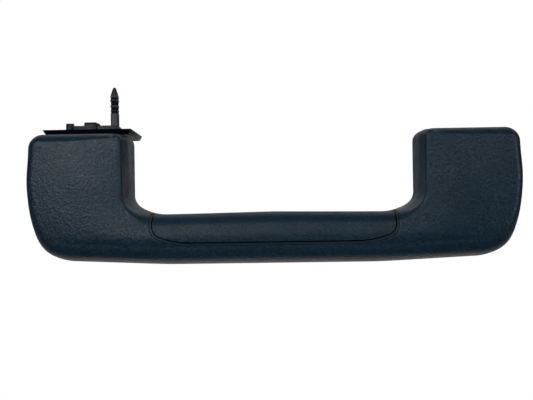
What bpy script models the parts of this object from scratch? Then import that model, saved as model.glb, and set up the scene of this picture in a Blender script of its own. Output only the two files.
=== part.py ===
"""Roof grab handle for a vehicle interior: a U-shaped moulded handle on two hinge brackets.

Everything is modelled around the pivot axis: X along the handle, Y from the cabin towards the body
panel, Z up, with the pivot axis along X through zero. Both brackets are modelled folded, as they lie
when the handle is up against the roof. The left one then turns 90 degrees about the pivot, which is how
it was left swung out. The origin of the whole is a point on the right bracket's roof seat.
"""
import math

import bmesh
import bpy
from mathutils import Matrix, Vector

# Driving sizes of the handle, in metres
HANDLE_LENGTH = 0.2413
HANDLE_HEIGHT = 0.0647
HANDLE_DEPTH = 0.0242
PAD_WIDTH = 0.0487
GRIP_HEIGHT = 0.0252
GRIP_BACK = 0.0043
SHELL_WALL = 0.0022
BARREL_RADIUS = 0.0065
BARREL_WALL = 0.0018
RIM_LIP = 0.0003
PAD_CROWN = 0.0010
GRIP_CROWN = 0.0007

# Gaps between neighbours
FIT_GAP = 0.0003
SEAM_GAP = 0.0005
SWING_GAP = 0.0004
PIN_GAP = 0.00015

# The line where the front and back of the grip meet, and how far from the pads the grip's back starts
# to swell and where it ends
GRIP_SPLIT = -0.0037
NECK_LENGTH = 0.0050
SWELL_LENGTH = 0.0320

# The insert in the grip, with a small bend at each end and a wide one before it
INSERT_CLEARANCE = 0.01345
INSERT_DROP = 0.0141
INSERT_BEND = 0.00585
INSERT_BEND_RISE = 0.00415
INSERT_SWEEP = 0.0420
INSERT_SWEEP_RUN = 0.01107
INSERT_THICKNESS = 0.0020
CARRIER_STRIP = 0.0010
CARRIER_THICKNESS = 0.0012
CARRIER_SINK = 0.0005

# The core frame
CORE_INSET = 0.0054
CORE_THICKNESS = 0.0025
CORE_GAP = 0.0030
EAR_RADIUS = 0.0038
EAR_INNER = 0.0118
EAR_THICKNESS = 0.0035
BEAM_CLEARANCE = 0.0120
BEAM_HEIGHT = 0.0096
BEAM_DEPTH = 0.0085
BEAM_WALL = 0.0016
BEAM_CELLS = 9
SCREW_RADIUS = 0.0012
SCREW_HEAD_RADIUS = 0.0030
SCREW_HEAD_HEIGHT = 0.0018
SCREW_LENGTH = 0.0052
SCREW_BOSS_RADIUS = 0.0031
SCREW_SPREAD = 0.0136
SCREW_DROP_SHARE = 0.65
BUFFER_DROP_SHARE = 0.51
BUFFER_RADIUS = 0.0034
BUFFER_CAP = 0.0030
BUFFER_POST_RADIUS = 0.0030
BUFFER_STEM_RADIUS = 0.0012
BUFFER_STEM_LENGTH = 0.0018

# The hinge brackets
PLATE_THICKNESS = 0.0024
PLATE_SIDE_GAP = 0.00335
PLATE_TAPER = 0.0028
PLATE_ABOVE = 0.0060
PLATE_BELOW_SHARE = 0.598
PLATE_CORNER = 0.0008
PLATE_FAR_CORNER = 0.0030
PLATE_BEVEL = 0.0012
BRACKET_SHIFT = 0.00295
SEAT_POINT_DROP = 0.0280
KNUCKLE_INNER = 0.0068
KNUCKLE_THICKNESS = 0.0046
KNUCKLE_RADIUS = 0.0044
PIN_RADIUS = 0.0020
PIN_HEAD_RADIUS = 0.0031
PIN_HEAD_LENGTH = 0.0012
PIN_END = 0.0172
CLIP_RADIUS = 0.0034
CLIP_THICKNESS = 0.0008
GROOVE_DEPTH = 0.0005
BUSH_WALL = 0.0008
FEATURE_DROP = 0.0120
PLATFORM_HEIGHT = 0.0035
PLATFORM_DEPTH = 0.0060
PLATFORM_OUTER = -0.0103
PLATFORM_INNER = 0.0140
BOSS_PLACE = -0.0130
BOSS_RADIUS = 0.0023
BOSS_HEIGHT = 0.0049
BOSS_BORE = 0.0012
BLOCK_PLACE = -0.0013
SPRING_CLIP_WIDTH = 0.0064
SPRING_CLIP_HEIGHT = 0.0052
SPRING_CLIP_SHEET = 0.0008
CLIP_CHAMFER = 0.0008
PLATFORM_NOTCH = 0.0007
LOCK_PLACE = 0.0109
LOCK_WIDTH = 0.0033
LOCK_DEPTH = 0.0049
LOCK_HEIGHT = 0.0238
LOCK_CORNER = 0.0004
# The barbed pin's levels as a share of its height, and how far it is grown there on each side, in metres
LOCK_LEVELS = (
    (0.415, 0.0), (0.416, -0.00040), (0.455, -0.00040), (0.458, 0.00005), (0.485, -0.00010),
    (0.487, -0.00040), (0.530, -0.00040), (0.533, 0.00008), (0.600, -0.00020), (0.602, -0.00040),
    (0.645, -0.00040), (0.648, 0.00025), (0.720, -0.00015), (0.722, -0.00040), (0.765, -0.00040),
    (0.768, 0.0), (0.800, -0.00012), (0.930, -0.00095), (0.985, -0.00130),
)
RIB_PLACE = 0.0090
RIB_THICKNESS = 0.0014
RIB_HEIGHT = 0.0020

# The spring and the damper on the pins
SPRING_WIRE = 0.00055
SPRING_COIL = 0.0032
SPRING_TURNS = 6
SPRING_SIDES = 10
DAMPER_RADIUS = 0.0043
DAMPER_BORE = 0.0033
DAMPER_LENGTH = 0.0114
ROTOR_WALL = 0.0006
ROTOR_FLANGE_RADIUS = 0.0040

# How finely the curved shapes are cut into faces
STATIONS = 24
RUNGS = 3
FILLET_STEPS = 4
INNER_STEPS = 2
SEAM_STEPS = 5
STEP_LENGTH = 0.014
STEP_ANGLE = math.radians(13)
ROUND_SIDES = 18
WELD_REACH = 0.00001
SHARP = math.radians(35)

# Levels that follow from the sizes above
HALF = HANDLE_LENGTH / 2
PAD_TOP = BARREL_RADIUS
BOTTOM = PAD_TOP - HANDLE_HEIGHT
GRIP_TOP = BOTTOM + GRIP_HEIGHT
FRONT = BARREL_RADIUS - HANDLE_DEPTH
PAD_INNER = HALF - PAD_WIDTH
GRIP_END = PAD_INNER - NECK_LENGTH
BACK_FLARE_START = PAD_INNER - SWELL_LENGTH
INSERT_END = PAD_INNER - INSERT_CLEARANCE
BEAM_LENGTH = 2 * (PAD_INNER - BEAM_CLEARANCE)
BRACKET_CENTRE = HALF - PAD_WIDTH / 2 - BRACKET_SHIFT
PLATE_WIDTH = PAD_WIDTH - 2 * PLATE_SIDE_GAP
PLATE_FAR_WIDTH = PLATE_WIDTH - PLATE_TAPER
SCREW_DROP = HANDLE_HEIGHT * SCREW_DROP_SHARE
BUFFER_DROP = HANDLE_HEIGHT * BUFFER_DROP_SHARE
PLATE_BELOW = HANDLE_HEIGHT * PLATE_BELOW_SHARE
PLATE_FRONT = BARREL_RADIUS + SWING_GAP
SEAT = PLATE_FRONT + PLATE_THICKNESS
CORE_FRONT = FRONT + SHELL_WALL + CORE_GAP
CORE_BACK = CORE_FRONT + CORE_THICKNESS
INSERT_BOTTOM = GRIP_TOP - INSERT_DROP
INSERT_BACK = GRIP_SPLIT - FIT_GAP / 2
BEYOND = 0.010

# The outline of the front, as corners. Each has its distance in from the pad's outer or inner side, its
# height, its corner radius, the width and depth of the edge rounding there, and how far the wall flares out
# towards the back. Distances and radii are shares of the pad's width, heights of the handle's or the grip's
# height, and the rest of the handle's depth.
OUTER_SHAPE = (
    (1.402, 0.0, 5.34, 0.372, 0.393, 0.008),
    (0.363, 0.037, 0.534, 0.372, 0.380, 0.012),
    (0.177, 0.1005, 0.308, 0.331, 0.351, 0.012),
    (0.0924, 0.198, 0.452, 0.273, 0.310, 0.012),
    (0.0226, 0.386, 1.44, 0.215, 0.269, 0.012),
    (0.0, 0.606, 1.75, 0.186, 0.227, 0.012),
)
INNER_SHAPE = (
    (0.2146, -0.036, 0.534, 0.289, 0.351, 0.012),
    (-0.001, 0.198, 0.164, 0.165, 0.207, 0.021),
)
TOP_OUTER = (0.0226, 0.150, 0.207, 0.227, 0.0)
TOP_INNER = (0.119, 0.207, 0.227, 0.021)
EASE_REACH = 0.0110
BACK_ROUNDING = (1.0, 0.72)
MIN_FILLET = 0.0002
SQUARE = (0.0, 0.0)


def shape_corners(shape, side_x, level, height):
    """Turns rows of shares into corners in metres, from the middle of the handle outwards."""
    corners = [
        (side_x - across * PAD_WIDTH, level + up * height, radius * PAD_WIDTH)
        + (width * HANDLE_DEPTH, depth * HANDLE_DEPTH, flare * HANDLE_DEPTH)
        for across, up, radius, width, depth, flare in shape
    ]
    return [(0.0, level, 0.0) + corners[0][3:]] + corners


def top_corner(x, radius, width, depth, flare):
    form = (width * HANDLE_DEPTH, depth * HANDLE_DEPTH, flare * HANDLE_DEPTH)
    return (x, PAD_TOP, radius * PAD_WIDTH) + form


OUTER_CORNERS = shape_corners(OUTER_SHAPE, HALF, BOTTOM, HANDLE_HEIGHT)
OUTER_CORNERS.append(top_corner(HALF - TOP_OUTER[0] * PAD_WIDTH, *TOP_OUTER[1:]))
OUTER_CORNERS.append(top_corner(PAD_INNER, *TOP_OUTER[1:]))
INNER_CORNERS = shape_corners(INNER_SHAPE, PAD_INNER, GRIP_TOP, GRIP_HEIGHT)
INNER_CORNERS.append(top_corner(PAD_INNER, *TOP_INNER))
INNER_CORNERS.append(top_corner(HALF, *TOP_INNER))


def new_collection(name):
    collection = bpy.data.collections.new(name)
    bpy.context.scene.collection.children.link(collection)
    return collection


def new_material(name, colour, roughness, metallic=0.0):
    material = bpy.data.materials.new(name)
    material.use_nodes = True
    shader = material.node_tree.nodes["Principled BSDF"]
    shader.inputs["Base Color"].default_value = (*colour, 1.0)
    shader.inputs["Roughness"].default_value = roughness
    shader.inputs["Metallic"].default_value = metallic
    material.diffuse_color = (*colour, 1.0)
    return material


def new_axis(name, location, turn=0.0, parent=None):
    """An empty on the pivot axis, which carries the pieces of one moving body."""
    axis = bpy.data.objects.new(name, None)
    axis.empty_display_size = 0.02
    axis.location = location
    axis.rotation_euler = (turn, 0.0, 0.0)
    axis.parent = parent
    parts.objects.link(axis)
    return axis


def place(name, bm, parent, material=None, location=(0.0, 0.0, 0.0)):
    """Turns a bmesh into an object under its axis. Without a material it is a cutter."""
    bmesh.ops.recalc_face_normals(bm, faces=bm.faces)
    mesh = bpy.data.meshes.new(name)
    bm.to_mesh(mesh)
    bm.free()
    piece = bpy.data.objects.new(name, mesh)
    piece.location = location
    piece.parent = parent
    if material:
        mesh.materials.append(material)
        mesh.shade_smooth()
        mesh.set_sharp_from_angle(angle=SHARP)
        parts.objects.link(piece)
    else:
        piece.hide_render = True
        piece.display_type = "WIRE"
        cutters.objects.link(piece)
    return piece


def combine(piece, tool, operation="DIFFERENCE"):
    """Cuts, joins or keeps the common part of a piece and a tool from the cutters."""
    modifier = piece.modifiers.new(tool.name, "BOOLEAN")
    modifier.object = tool
    modifier.operation = operation
    modifier.solver = "EXACT"


def weld(piece):
    """Closes the hairline slivers that cuts through long faces can leave."""
    modifier = piece.modifiers.new("weld", "WELD")
    modifier.merge_threshold = WELD_REACH


def round_edges(piece, width, angle=40.0):
    modifier = piece.modifiers.new("edges", "BEVEL")
    modifier.width = width
    modifier.segments = 1
    modifier.limit_method = "ANGLE"
    modifier.angle_limit = math.radians(angle)


def box(low, high, bm=None):
    bm = bm or bmesh.new()
    low = Vector(low)
    high = Vector(high)
    middle = Matrix.Translation((low + high) / 2)
    bmesh.ops.create_cube(bm, size=1.0, matrix=middle @ Matrix.Diagonal((*(high - low), 1.0)))
    return bm


def cylinder(radius, start, end, axis="X", centre=(0.0, 0.0), bm=None, end_radius=None, sides=ROUND_SIDES):
    """A cylinder or cone along X, Y or Z. The centre is (y, z), (x, z) or (x, y)."""
    bm = bm or bmesh.new()
    middle = (start + end) / 2
    if axis == "X":
        turn = Matrix.Rotation(math.radians(90), 4, "Y")
        place_at = Matrix.Translation((middle, centre[0], centre[1]))
    elif axis == "Y":
        turn = Matrix.Rotation(math.radians(-90), 4, "X")
        place_at = Matrix.Translation((centre[0], middle, centre[1]))
    else:
        turn = Matrix.Identity(4)
        place_at = Matrix.Translation((centre[0], centre[1], middle))
    far_radius = radius if end_radius is None else end_radius
    bmesh.ops.create_cone(
        bm, cap_ends=True, segments=sides, radius1=radius, radius2=far_radius, depth=end - start,
        matrix=place_at @ turn,
    )
    return bm


def extrusion(outline, start, end, axis="X", taper=1.0, bm=None):
    """A flat outline drawn out along an axis: (y, z) pairs for X, (x, z) for Y and (x, y) for Z."""
    bm = bm or bmesh.new()
    if axis == "X":
        points = [(start, y, z) for y, z in outline]
        travel = Vector((end - start, 0.0, 0.0))
    elif axis == "Y":
        points = [(x, start, z) for x, z in outline]
        travel = Vector((0.0, end - start, 0.0))
    else:
        points = [(x, y, start) for x, y in outline]
        travel = Vector((0.0, 0.0, end - start))
    face = bm.faces.new([bm.verts.new(point) for point in points])
    grown = bmesh.ops.extrude_face_region(bm, geom=[face])["geom"]
    far = [item for item in grown if isinstance(item, bmesh.types.BMVert)]
    bmesh.ops.translate(bm, verts=far, vec=travel)
    if taper != 1.0:
        centre = sum((vert.co for vert in far), Vector()) / len(far)
        bmesh.ops.scale(bm, verts=far, vec=(taper, taper, taper), space=Matrix.Translation(-centre))
    return bm


def arc(centre, radius, start, end, steps):
    """Points on an arc, from one angle in degrees to another."""
    angles = [math.radians(start + (end - start) * step / steps) for step in range(steps + 1)]
    return [(centre[0] + radius * math.cos(a), centre[1] + radius * math.sin(a)) for a in angles]


def plate_outline():
    """The bracket's plate: nearly square corners above the pivot, rounder and closer together below."""
    near = PLATE_WIDTH / 2 - PLATE_CORNER
    far = PLATE_FAR_WIDTH / 2 - PLATE_FAR_CORNER
    top = PLATE_ABOVE - PLATE_CORNER
    bottom = PLATE_FAR_CORNER - PLATE_BELOW
    outline = arc((far, bottom), PLATE_FAR_CORNER, -90, 0, 4) + arc((near, top), PLATE_CORNER, 0, 90, 2)
    return outline + [(-x, z) for x, z in reversed(outline)]


def eye(radius, reach):
    """The side view of an ear: round about the pivot axis, with parallel sides that reach along Y."""
    sides = arc((0.0, 0.0), radius, 90, 270, 10) if reach > 0 else arc((0.0, 0.0), radius, -90, 90, 10)
    return sides + [(reach, sides[-1][1]), (reach, sides[0][1])]


# The moulded skin: two chains of posts, one along the outside and bottom, one along the finger side


def chain_pieces(corners):
    """Splits a chain of rounded corners into straight runs and arcs, each with its edge rounding."""
    pieces = []
    here = Vector(corners[0][:2])
    form = Vector(corners[0][3:])
    for before, corner, after in zip(corners, corners[1:], corners[2:]):
        knee = Vector(corner[:2])
        radius = corner[2]
        entry = (knee - Vector(before[:2])).normalized()
        leaving = (Vector(after[:2]) - knee).normalized()
        turn = math.atan2(entry.x * leaving.y - entry.y * leaving.x, entry.dot(leaving))
        tangent = radius * math.tan(abs(turn) / 2)
        start = knee - entry * tangent
        pieces.append(("run", here, start, form, Vector(corner[3:])))
        pieces.append(("arc", start, entry, turn, radius, Vector(corner[3:])))
        here = knee + leaving * tangent
        form = Vector(corner[3:])
    return pieces


def weight(piece):
    if piece[0] == "run":
        return (piece[2] - piece[1]).length / STEP_LENGTH
    return abs(piece[3]) * (1 / STEP_ANGLE + piece[4] / STEP_LENGTH)


def turned(vector, angle):
    return Vector((
        vector.x * math.cos(angle) - vector.y * math.sin(angle),
        vector.x * math.sin(angle) + vector.y * math.cos(angle),
    ))


def post_at(piece, share, side):
    """Point, outward normal and edge rounding at a share of one piece of a chain."""
    if piece[0] == "run":
        _, start, end, form, next_form = piece
        point = start.lerp(end, share)
        heading = (end - start).normalized()
        rounding = form.lerp(next_form, share)
    else:
        _, start, entry, turn, radius, rounding = piece
        centre = start + turned(entry, math.copysign(math.pi / 2, turn)) * radius
        point = centre + turned(start - centre, turn * share)
        heading = turned(entry, turn * share)
    return point, turned(heading, side * math.pi / 2), rounding


def chain_posts(corners, side):
    """Posts from the middle of the handle to the top of the right pad, closer together on the bends."""
    pieces = chain_pieces(corners)
    total = sum(weight(piece) for piece in pieces)
    posts = []
    for station in range(STATIONS + 1):
        wanted = total * station / STATIONS
        for piece in pieces:
            share = weight(piece)
            if wanted <= share or piece is pieces[-1]:
                posts.append(post_at(piece, min(wanted / share, 1.0), side))
                break
            wanted -= share
    return posts


def eased(posts):
    """Lets the edge rounding change gradually along a chain."""
    result = []
    for point, normal, _ in posts:
        form = Vector()
        total = 0.0
        for near_point, _, near_form in posts:
            share = max(1 - (near_point - point).length / EASE_REACH, 0.0)
            form += near_form * share
            total += share
        result.append((point, normal, form / total))
    return result


def both_sides(posts):
    """The same posts mirrored to the left pad, from the left pad's top to the right pad's."""
    left = [(Vector((-p.x, p.y)), Vector((-n.x, n.y)), form) for p, n, form in reversed(posts[1:])]
    return left + posts


def skin(inset, face, other, facing=-1, rounding=(1.0, 1.0), steps=FILLET_STEPS, crown_share=1.0,
         fade=lambda x: 1.0):
    """A closed solid inside the handle's outline, shrunk all round by the inset.

    The face is the y of the rounded side, as a function of x; facing is -1 if it looks to the cabin.
    The other side is flat or follows a function of z, and it is joined by a wall that flares a little,
    except at the tops.
    The rounding gives how much of the edge rounding's width and depth is used, fade how that changes
    with x, and the crown share how much of the face's crown.
    """
    outer = both_sides(eased(chain_posts(OUTER_CORNERS, -1)))
    inner = both_sides(eased(chain_posts(INNER_CORNERS, 1)))
    last = len(outer) - 1

    def across(station):
        out_point, normal, form = outer[station]
        in_point = inner[station][0]
        return [(out_point.lerp(in_point, k / RUNGS), normal, form) for k in range(1, RUNGS)]

    ring = outer + across(last) + inner[::-1] + across(0)[::-1]
    bm = bmesh.new()

    def vertex(post, angle, y):
        point, normal, form = post
        width = max((form.x - inset) * rounding[0] * fade(point.x), MIN_FILLET) * (1 - math.cos(angle))
        flare = form.z * (y * -facing - FRONT) / HANDLE_DEPTH * (1 - max(normal.y, 0.0))
        place_xz = point - normal * (inset + width - flare)
        return bm.verts.new((place_xz.x, y, place_xz.y))

    levels = []
    for step in range(steps + 1):
        angle = math.pi / 2 * step / steps
        level = []
        for post in ring:
            full_depth = (post[2].y * rounding[1] - inset) * fade(post[0].x)
            depth = max(full_depth, MIN_FILLET) * (1 - math.sin(angle))
            level.append(vertex(post, angle, face(post[0].x) - facing * depth))
        levels.append(level)
    back = []
    for post in ring:
        shrunk = post[0] - post[1] * inset
        back.append(vertex(post, 0.0, other(shrunk.y)))
    for lower, upper in zip([back] + levels, levels):
        for k in range(len(ring)):
            ahead = (k + 1) % len(ring)
            bm.faces.new((lower[k], lower[ahead], upper[ahead], upper[k]))

    def fill(boundary, height):
        """A grid between the two chains, with inner points lifted by a height function."""
        rows = []
        for station in range(last + 1):
            out_vertex = boundary[station]
            in_vertex = boundary[2 * last + RUNGS - station]
            row = [out_vertex]
            for k in range(1, RUNGS):
                share = k / RUNGS
                if station == last:
                    row.append(boundary[last + k])
                elif station == 0:
                    row.append(boundary[len(ring) - k])
                else:
                    x, y, z = out_vertex.co.lerp(in_vertex.co, share)
                    row.append(bm.verts.new((x, height(x, y, z, share), z)))
            rows.append(row + [in_vertex])
        for row, ahead in zip(rows, rows[1:]):
            for k in range(RUNGS):
                bm.faces.new((row[k], row[k + 1], ahead[k + 1], ahead[k]))

    def crowned(x, y, z, share):
        pad_share = min(max((abs(x) - GRIP_END) / (PAD_INNER - GRIP_END), 0.0), 1.0)
        crown = (GRIP_CROWN + (PAD_CROWN - GRIP_CROWN) * pad_share) * crown_share
        below_top = min((PAD_TOP - z) / PAD_WIDTH * 2, 1.0)
        return y + facing * crown * 4 * share * (1 - share) * below_top

    fill(levels[-1], crowned)
    fill(back, lambda x, y, z, share: other(z))
    return bm


def flat(y):
    return lambda position: y


def barrel(radius):
    """The back of a pad: flat, and above the pivot axis a barrel about it."""
    return lambda z: math.sqrt(max(radius ** 2 - max(z, 0.0) ** 2, 0.0))


def front_face(inset):
    return flat(FRONT + inset)


def cut_off(bm, point, outwards):
    """Cuts a solid off square at a plane and closes it there."""
    geometry = bm.verts[:] + bm.edges[:] + bm.faces[:]
    bmesh.ops.bisect_plane(bm, geom=geometry, plane_co=point, plane_no=outwards, clear_outer=True)
    open_edges = [edge for edge in bm.edges if edge.is_boundary]
    bmesh.ops.holes_fill(bm, edges=open_edges, sides=0)
    return bm


def between(bm, end):
    """The stretch of a solid within a distance of the handle's middle."""
    cut_off(bm, (end, 0.0, 0.0), (1.0, 0.0, 0.0))
    return cut_off(bm, (-end, 0.0, 0.0), (-1.0, 0.0, 0.0))


def insert_outline(grow):
    """The seam of the insert as seen from the front, grown all round, from the grip's top and back to it."""
    no_form = (0.0, 0.0, 0.0)
    top = GRIP_TOP + BEYOND
    corners = (
        (0.0, INSERT_BOTTOM, 0.0) + no_form,
        (INSERT_END - INSERT_SWEEP_RUN, INSERT_BOTTOM, INSERT_SWEEP) + no_form,
        (INSERT_END, INSERT_BOTTOM + INSERT_BEND_RISE, INSERT_BEND) + no_form,
        (INSERT_END, top, 0.0) + no_form,
    )
    right = []
    for piece in chain_pieces(corners):
        steps = 1 if piece[0] == "run" else SEAM_STEPS
        for step in range(1, steps + 1):
            point, normal, _ = post_at(piece, step / steps, -1)
            right.append(tuple(point + normal * grow))
    right.append((INSERT_END + grow, top))
    left = [(-x, z) for x, z in reversed(right)]
    return right[::-1] + left[::-1]


def insert_prism(grow):
    return extrusion(insert_outline(grow), FRONT - BEYOND, INSERT_BACK + BEYOND, "Y")


# Pieces of the handle


def make_front_shell(handle):
    outside = skin(0.0, front_face(0.0), barrel(BARREL_RADIUS))
    shell = place("front_shell", outside, handle, shell_plastic)
    hollow = skin(SHELL_WALL, front_face(SHELL_WALL), barrel(BARREL_RADIUS - BARREL_WALL), steps=INNER_STEPS)
    combine(shell, place("shell_hollow", hollow, handle))
    mouth_start = flat(BARREL_RADIUS / 2)
    mouth = skin(SHELL_WALL + RIM_LIP, mouth_start, flat(BARREL_RADIUS + BEYOND), rounding=SQUARE, steps=1)
    cut_off(mouth, (0.0, 0.0, -SWING_GAP), (0.0, 0.0, 1.0))
    combine(shell, place("shell_mouth", mouth, handle))
    half_height = HANDLE_HEIGHT / 2
    grip_back = box(
        (-GRIP_END, GRIP_SPLIT - FIT_GAP / 2, BOTTOM - half_height),
        (GRIP_END, BARREL_RADIUS + BEYOND, PAD_TOP - FIT_GAP),
    )
    combine(shell, place("grip_back_cut", grip_back, handle))
    weld(shell)
    window = insert_prism(SEAM_GAP + CARRIER_STRIP + FIT_GAP)
    combine(shell, place("insert_window", window, handle))
    for side in (-1, 1):
        for place_x in (-1, 1):
            middle = side * BRACKET_CENTRE + place_x * (KNUCKLE_INNER + KNUCKLE_THICKNESS / 2)
            half_slot = KNUCKLE_THICKNESS / 2 + SWING_GAP
            reach = KNUCKLE_RADIUS + 2 * SWING_GAP
            slot = box(
                (middle - half_slot, -reach, -reach), (middle + half_slot, SEAT, PAD_TOP + BEYOND),
            )
            combine(shell, place(f"knuckle_slot_{side}_{place_x}", slot, handle))
    for number, (x, z) in enumerate(screw_places()):
        boss = cylinder(SCREW_BOSS_RADIUS, FRONT + SHELL_WALL / 2, CORE_FRONT - FIT_GAP, "Y", (x, z), sides=16)
        combine(shell, place(f"screw_boss_{number}", boss, handle), "UNION")
        pilot = cylinder(
            SCREW_RADIUS + FIT_GAP, CORE_BACK - SCREW_LENGTH - FIT_GAP, CORE_FRONT, "Y", (x, z), sides=12,
        )
        combine(shell, place(f"screw_pilot_{number}", pilot, handle))
    weld(shell)


def screw_places():
    """The four screws, two in each pad below the bracket."""
    return [
        (side * (BRACKET_CENTRE + offset), -SCREW_DROP)
        for side in (-1, 1) for offset in (-SCREW_SPREAD, SCREW_SPREAD)
    ]


def make_insert(handle):
    insert = place("grip_insert", skin(0.0, front_face(0.0), flat(INSERT_BACK)), handle, insert_soft)
    combine(insert, place("insert_edge", insert_prism(0.0), handle), "INTERSECT")
    core = skin(INSERT_THICKNESS, front_face(INSERT_THICKNESS), flat(INSERT_BACK + BEYOND), steps=INNER_STEPS)
    combine(insert, place("insert_core", core, handle))


def make_carrier(handle):
    """The tray under the insert, with a rim that comes up all round it in the seam."""
    outside = INSERT_THICKNESS + FIT_GAP
    inside = outside + CARRIER_THICKNESS
    solid = skin(CARRIER_SINK, front_face(CARRIER_SINK), flat(INSERT_BACK))
    tray = place("insert_carrier", solid, handle, inner_plastic)
    combine(tray, place("carrier_edge", insert_prism(SEAM_GAP + CARRIER_STRIP), handle), "INTERSECT")
    recess = place("carrier_recess", insert_prism(SEAM_GAP), handle)
    floor = skin(outside, front_face(outside), flat(INSERT_BACK + 2 * BEYOND), steps=INNER_STEPS)
    combine(recess, place("recess_floor", floor, handle))
    combine(tray, recess)
    hollow = skin(inside, front_face(inside), flat(INSERT_BACK + BEYOND), steps=INNER_STEPS)
    combine(tray, place("carrier_core", hollow, handle))
    weld(tray)


def grip_back_face(inset):
    """The back of the grip, which swells towards the pads until it meets their rims."""
    def face(x):
        share = min(max((abs(x) - BACK_FLARE_START) / (GRIP_END - BACK_FLARE_START), 0.0), 1.0)
        ease = share * share * (3 - 2 * share)
        return GRIP_BACK + (BARREL_RADIUS - GRIP_BACK) * ease - inset
    return face


def towards_pads(x):
    """The share of the back's edge rounding: whole in the grip and none where the pads' rims begin."""
    share = min(max((GRIP_END - abs(x)) / (GRIP_END - BACK_FLARE_START), 0.0), 1.0)
    return share * share * (3 - 2 * share)


def make_rear_shell(handle):
    start = GRIP_SPLIT + FIT_GAP / 2
    end = GRIP_END - FIT_GAP
    outside = skin(0.0, grip_back_face(0.0), flat(start), 1, BACK_ROUNDING, fade=towards_pads)
    shell = place("rear_shell", between(outside, end), handle, shell_plastic)
    inside = skin(
        SHELL_WALL, grip_back_face(SHELL_WALL), flat(start - BEYOND), 1, BACK_ROUNDING, INNER_STEPS,
        fade=towards_pads,
    )
    combine(shell, place("rear_hollow", between(inside, end - SHELL_WALL), handle))


def make_core_frame(handle):
    """The stiff frame: a plate that follows the U, a box beam in the grip, ears and buffer posts."""
    plate = skin(CORE_INSET, flat(CORE_FRONT), flat(CORE_BACK), rounding=SQUARE, steps=1, crown_share=0.0)
    frame = place("core_frame", plate, handle, inner_plastic)
    middle = (GRIP_TOP + BOTTOM) / 2
    back = CORE_BACK + BEAM_DEPTH
    overlap = CORE_THICKNESS / 2
    beam = box(
        (-BEAM_LENGTH / 2, CORE_BACK - overlap, middle - BEAM_HEIGHT / 2),
        (BEAM_LENGTH / 2, back, middle + BEAM_HEIGHT / 2),
    )
    combine(frame, place("grip_beam", beam, handle), "UNION")
    cell = (BEAM_LENGTH - BEAM_WALL) / BEAM_CELLS
    cells = bmesh.new()
    for number in range(BEAM_CELLS):
        start = -BEAM_LENGTH / 2 + BEAM_WALL + number * cell
        box(
            (start, CORE_BACK, middle - BEAM_HEIGHT / 2 + BEAM_WALL),
            (start + cell - BEAM_WALL, back + BEYOND, middle + BEAM_HEIGHT / 2 - BEAM_WALL), cells,
        )
    combine(frame, place("beam_cells", cells, handle))
    weld(frame)
    for side in (-1, 1):
        for offset in (-EAR_INNER - EAR_THICKNESS, EAR_INNER):
            start = side * BRACKET_CENTRE + offset
            ear = extrusion(eye(EAR_RADIUS, CORE_BACK - overlap), start, start + EAR_THICKNESS)
            combine(frame, place(f"ear_{side}_{offset > 0:d}", ear, handle), "UNION")
        bore = cylinder(PIN_RADIUS + PIN_GAP, -EAR_INNER - 2 * EAR_THICKNESS, EAR_INNER + 2 * EAR_THICKNESS)
        combine(frame, place(f"ear_bore_{side}", bore, handle, location=(side * BRACKET_CENTRE, 0.0, 0.0)))
        at = (side * BRACKET_CENTRE, -BUFFER_DROP)
        top = buffer_seat()
        post = cylinder(
            BUFFER_POST_RADIUS + BUFFER_CAP / 4, CORE_BACK - overlap, top, "Y", at, end_radius=BUFFER_POST_RADIUS,
        )
        combine(frame, place(f"buffer_post_{side}", post, handle), "UNION")
        socket = cylinder(
            BUFFER_STEM_RADIUS + FIT_GAP, top - BUFFER_STEM_LENGTH - FIT_GAP, top + BEYOND, "Y", at, sides=12,
        )
        combine(frame, place(f"buffer_socket_{side}", socket, handle))
    for number, at in enumerate(screw_places()):
        hole = cylinder(SCREW_RADIUS + FIT_GAP, CORE_FRONT - BEYOND, CORE_BACK + BEYOND, "Y", at, sides=12)
        combine(frame, place(f"screw_hole_{number}", hole, handle))


def buffer_seat():
    """The end of the buffer posts, a rubber cap below the folded bracket's plate."""
    return PLATE_FRONT - FIT_GAP - BUFFER_CAP - FIT_GAP


def make_buffer(name, side, handle):
    at = (side * BRACKET_CENTRE, -BUFFER_DROP)
    seat = buffer_seat()
    cap = place(name, cylinder(BUFFER_RADIUS, seat + FIT_GAP, PLATE_FRONT - FIT_GAP, "Y", at), handle, rubber)
    stem = cylinder(BUFFER_STEM_RADIUS, seat - BUFFER_STEM_LENGTH, seat + 2 * FIT_GAP, "Y", at, sides=12)
    combine(cap, place(f"{name}_stem", stem, handle), "UNION")
    round_edges(cap, BUFFER_CAP / 6)


def make_screw(name, at, handle):
    """A pan-head screw with a slot, turned about Y."""
    head = CORE_BACK + FIT_GAP
    tip = CORE_BACK - SCREW_LENGTH
    profile = (
        (SCREW_RADIUS / 2, tip),
        (SCREW_RADIUS, tip + SCREW_RADIUS),
        (SCREW_RADIUS, head),
        (SCREW_HEAD_RADIUS, head),
        (SCREW_HEAD_RADIUS, head + SCREW_HEAD_HEIGHT / 2),
        (SCREW_HEAD_RADIUS * 0.7, head + SCREW_HEAD_HEIGHT),
    )
    screw = place(name, turned_solid(bmesh.new(), profile, at), handle, steel)
    top = head + SCREW_HEAD_HEIGHT
    long = SCREW_HEAD_RADIUS * 0.6
    thin = SCREW_RADIUS * 0.3
    slot = box(
        (at[0] - long, top - SCREW_HEAD_HEIGHT / 2, at[1] - thin), (at[0] + long, top + BEYOND, at[1] + thin),
    )
    combine(screw, place(f"{name}_slot", slot, handle))


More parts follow.
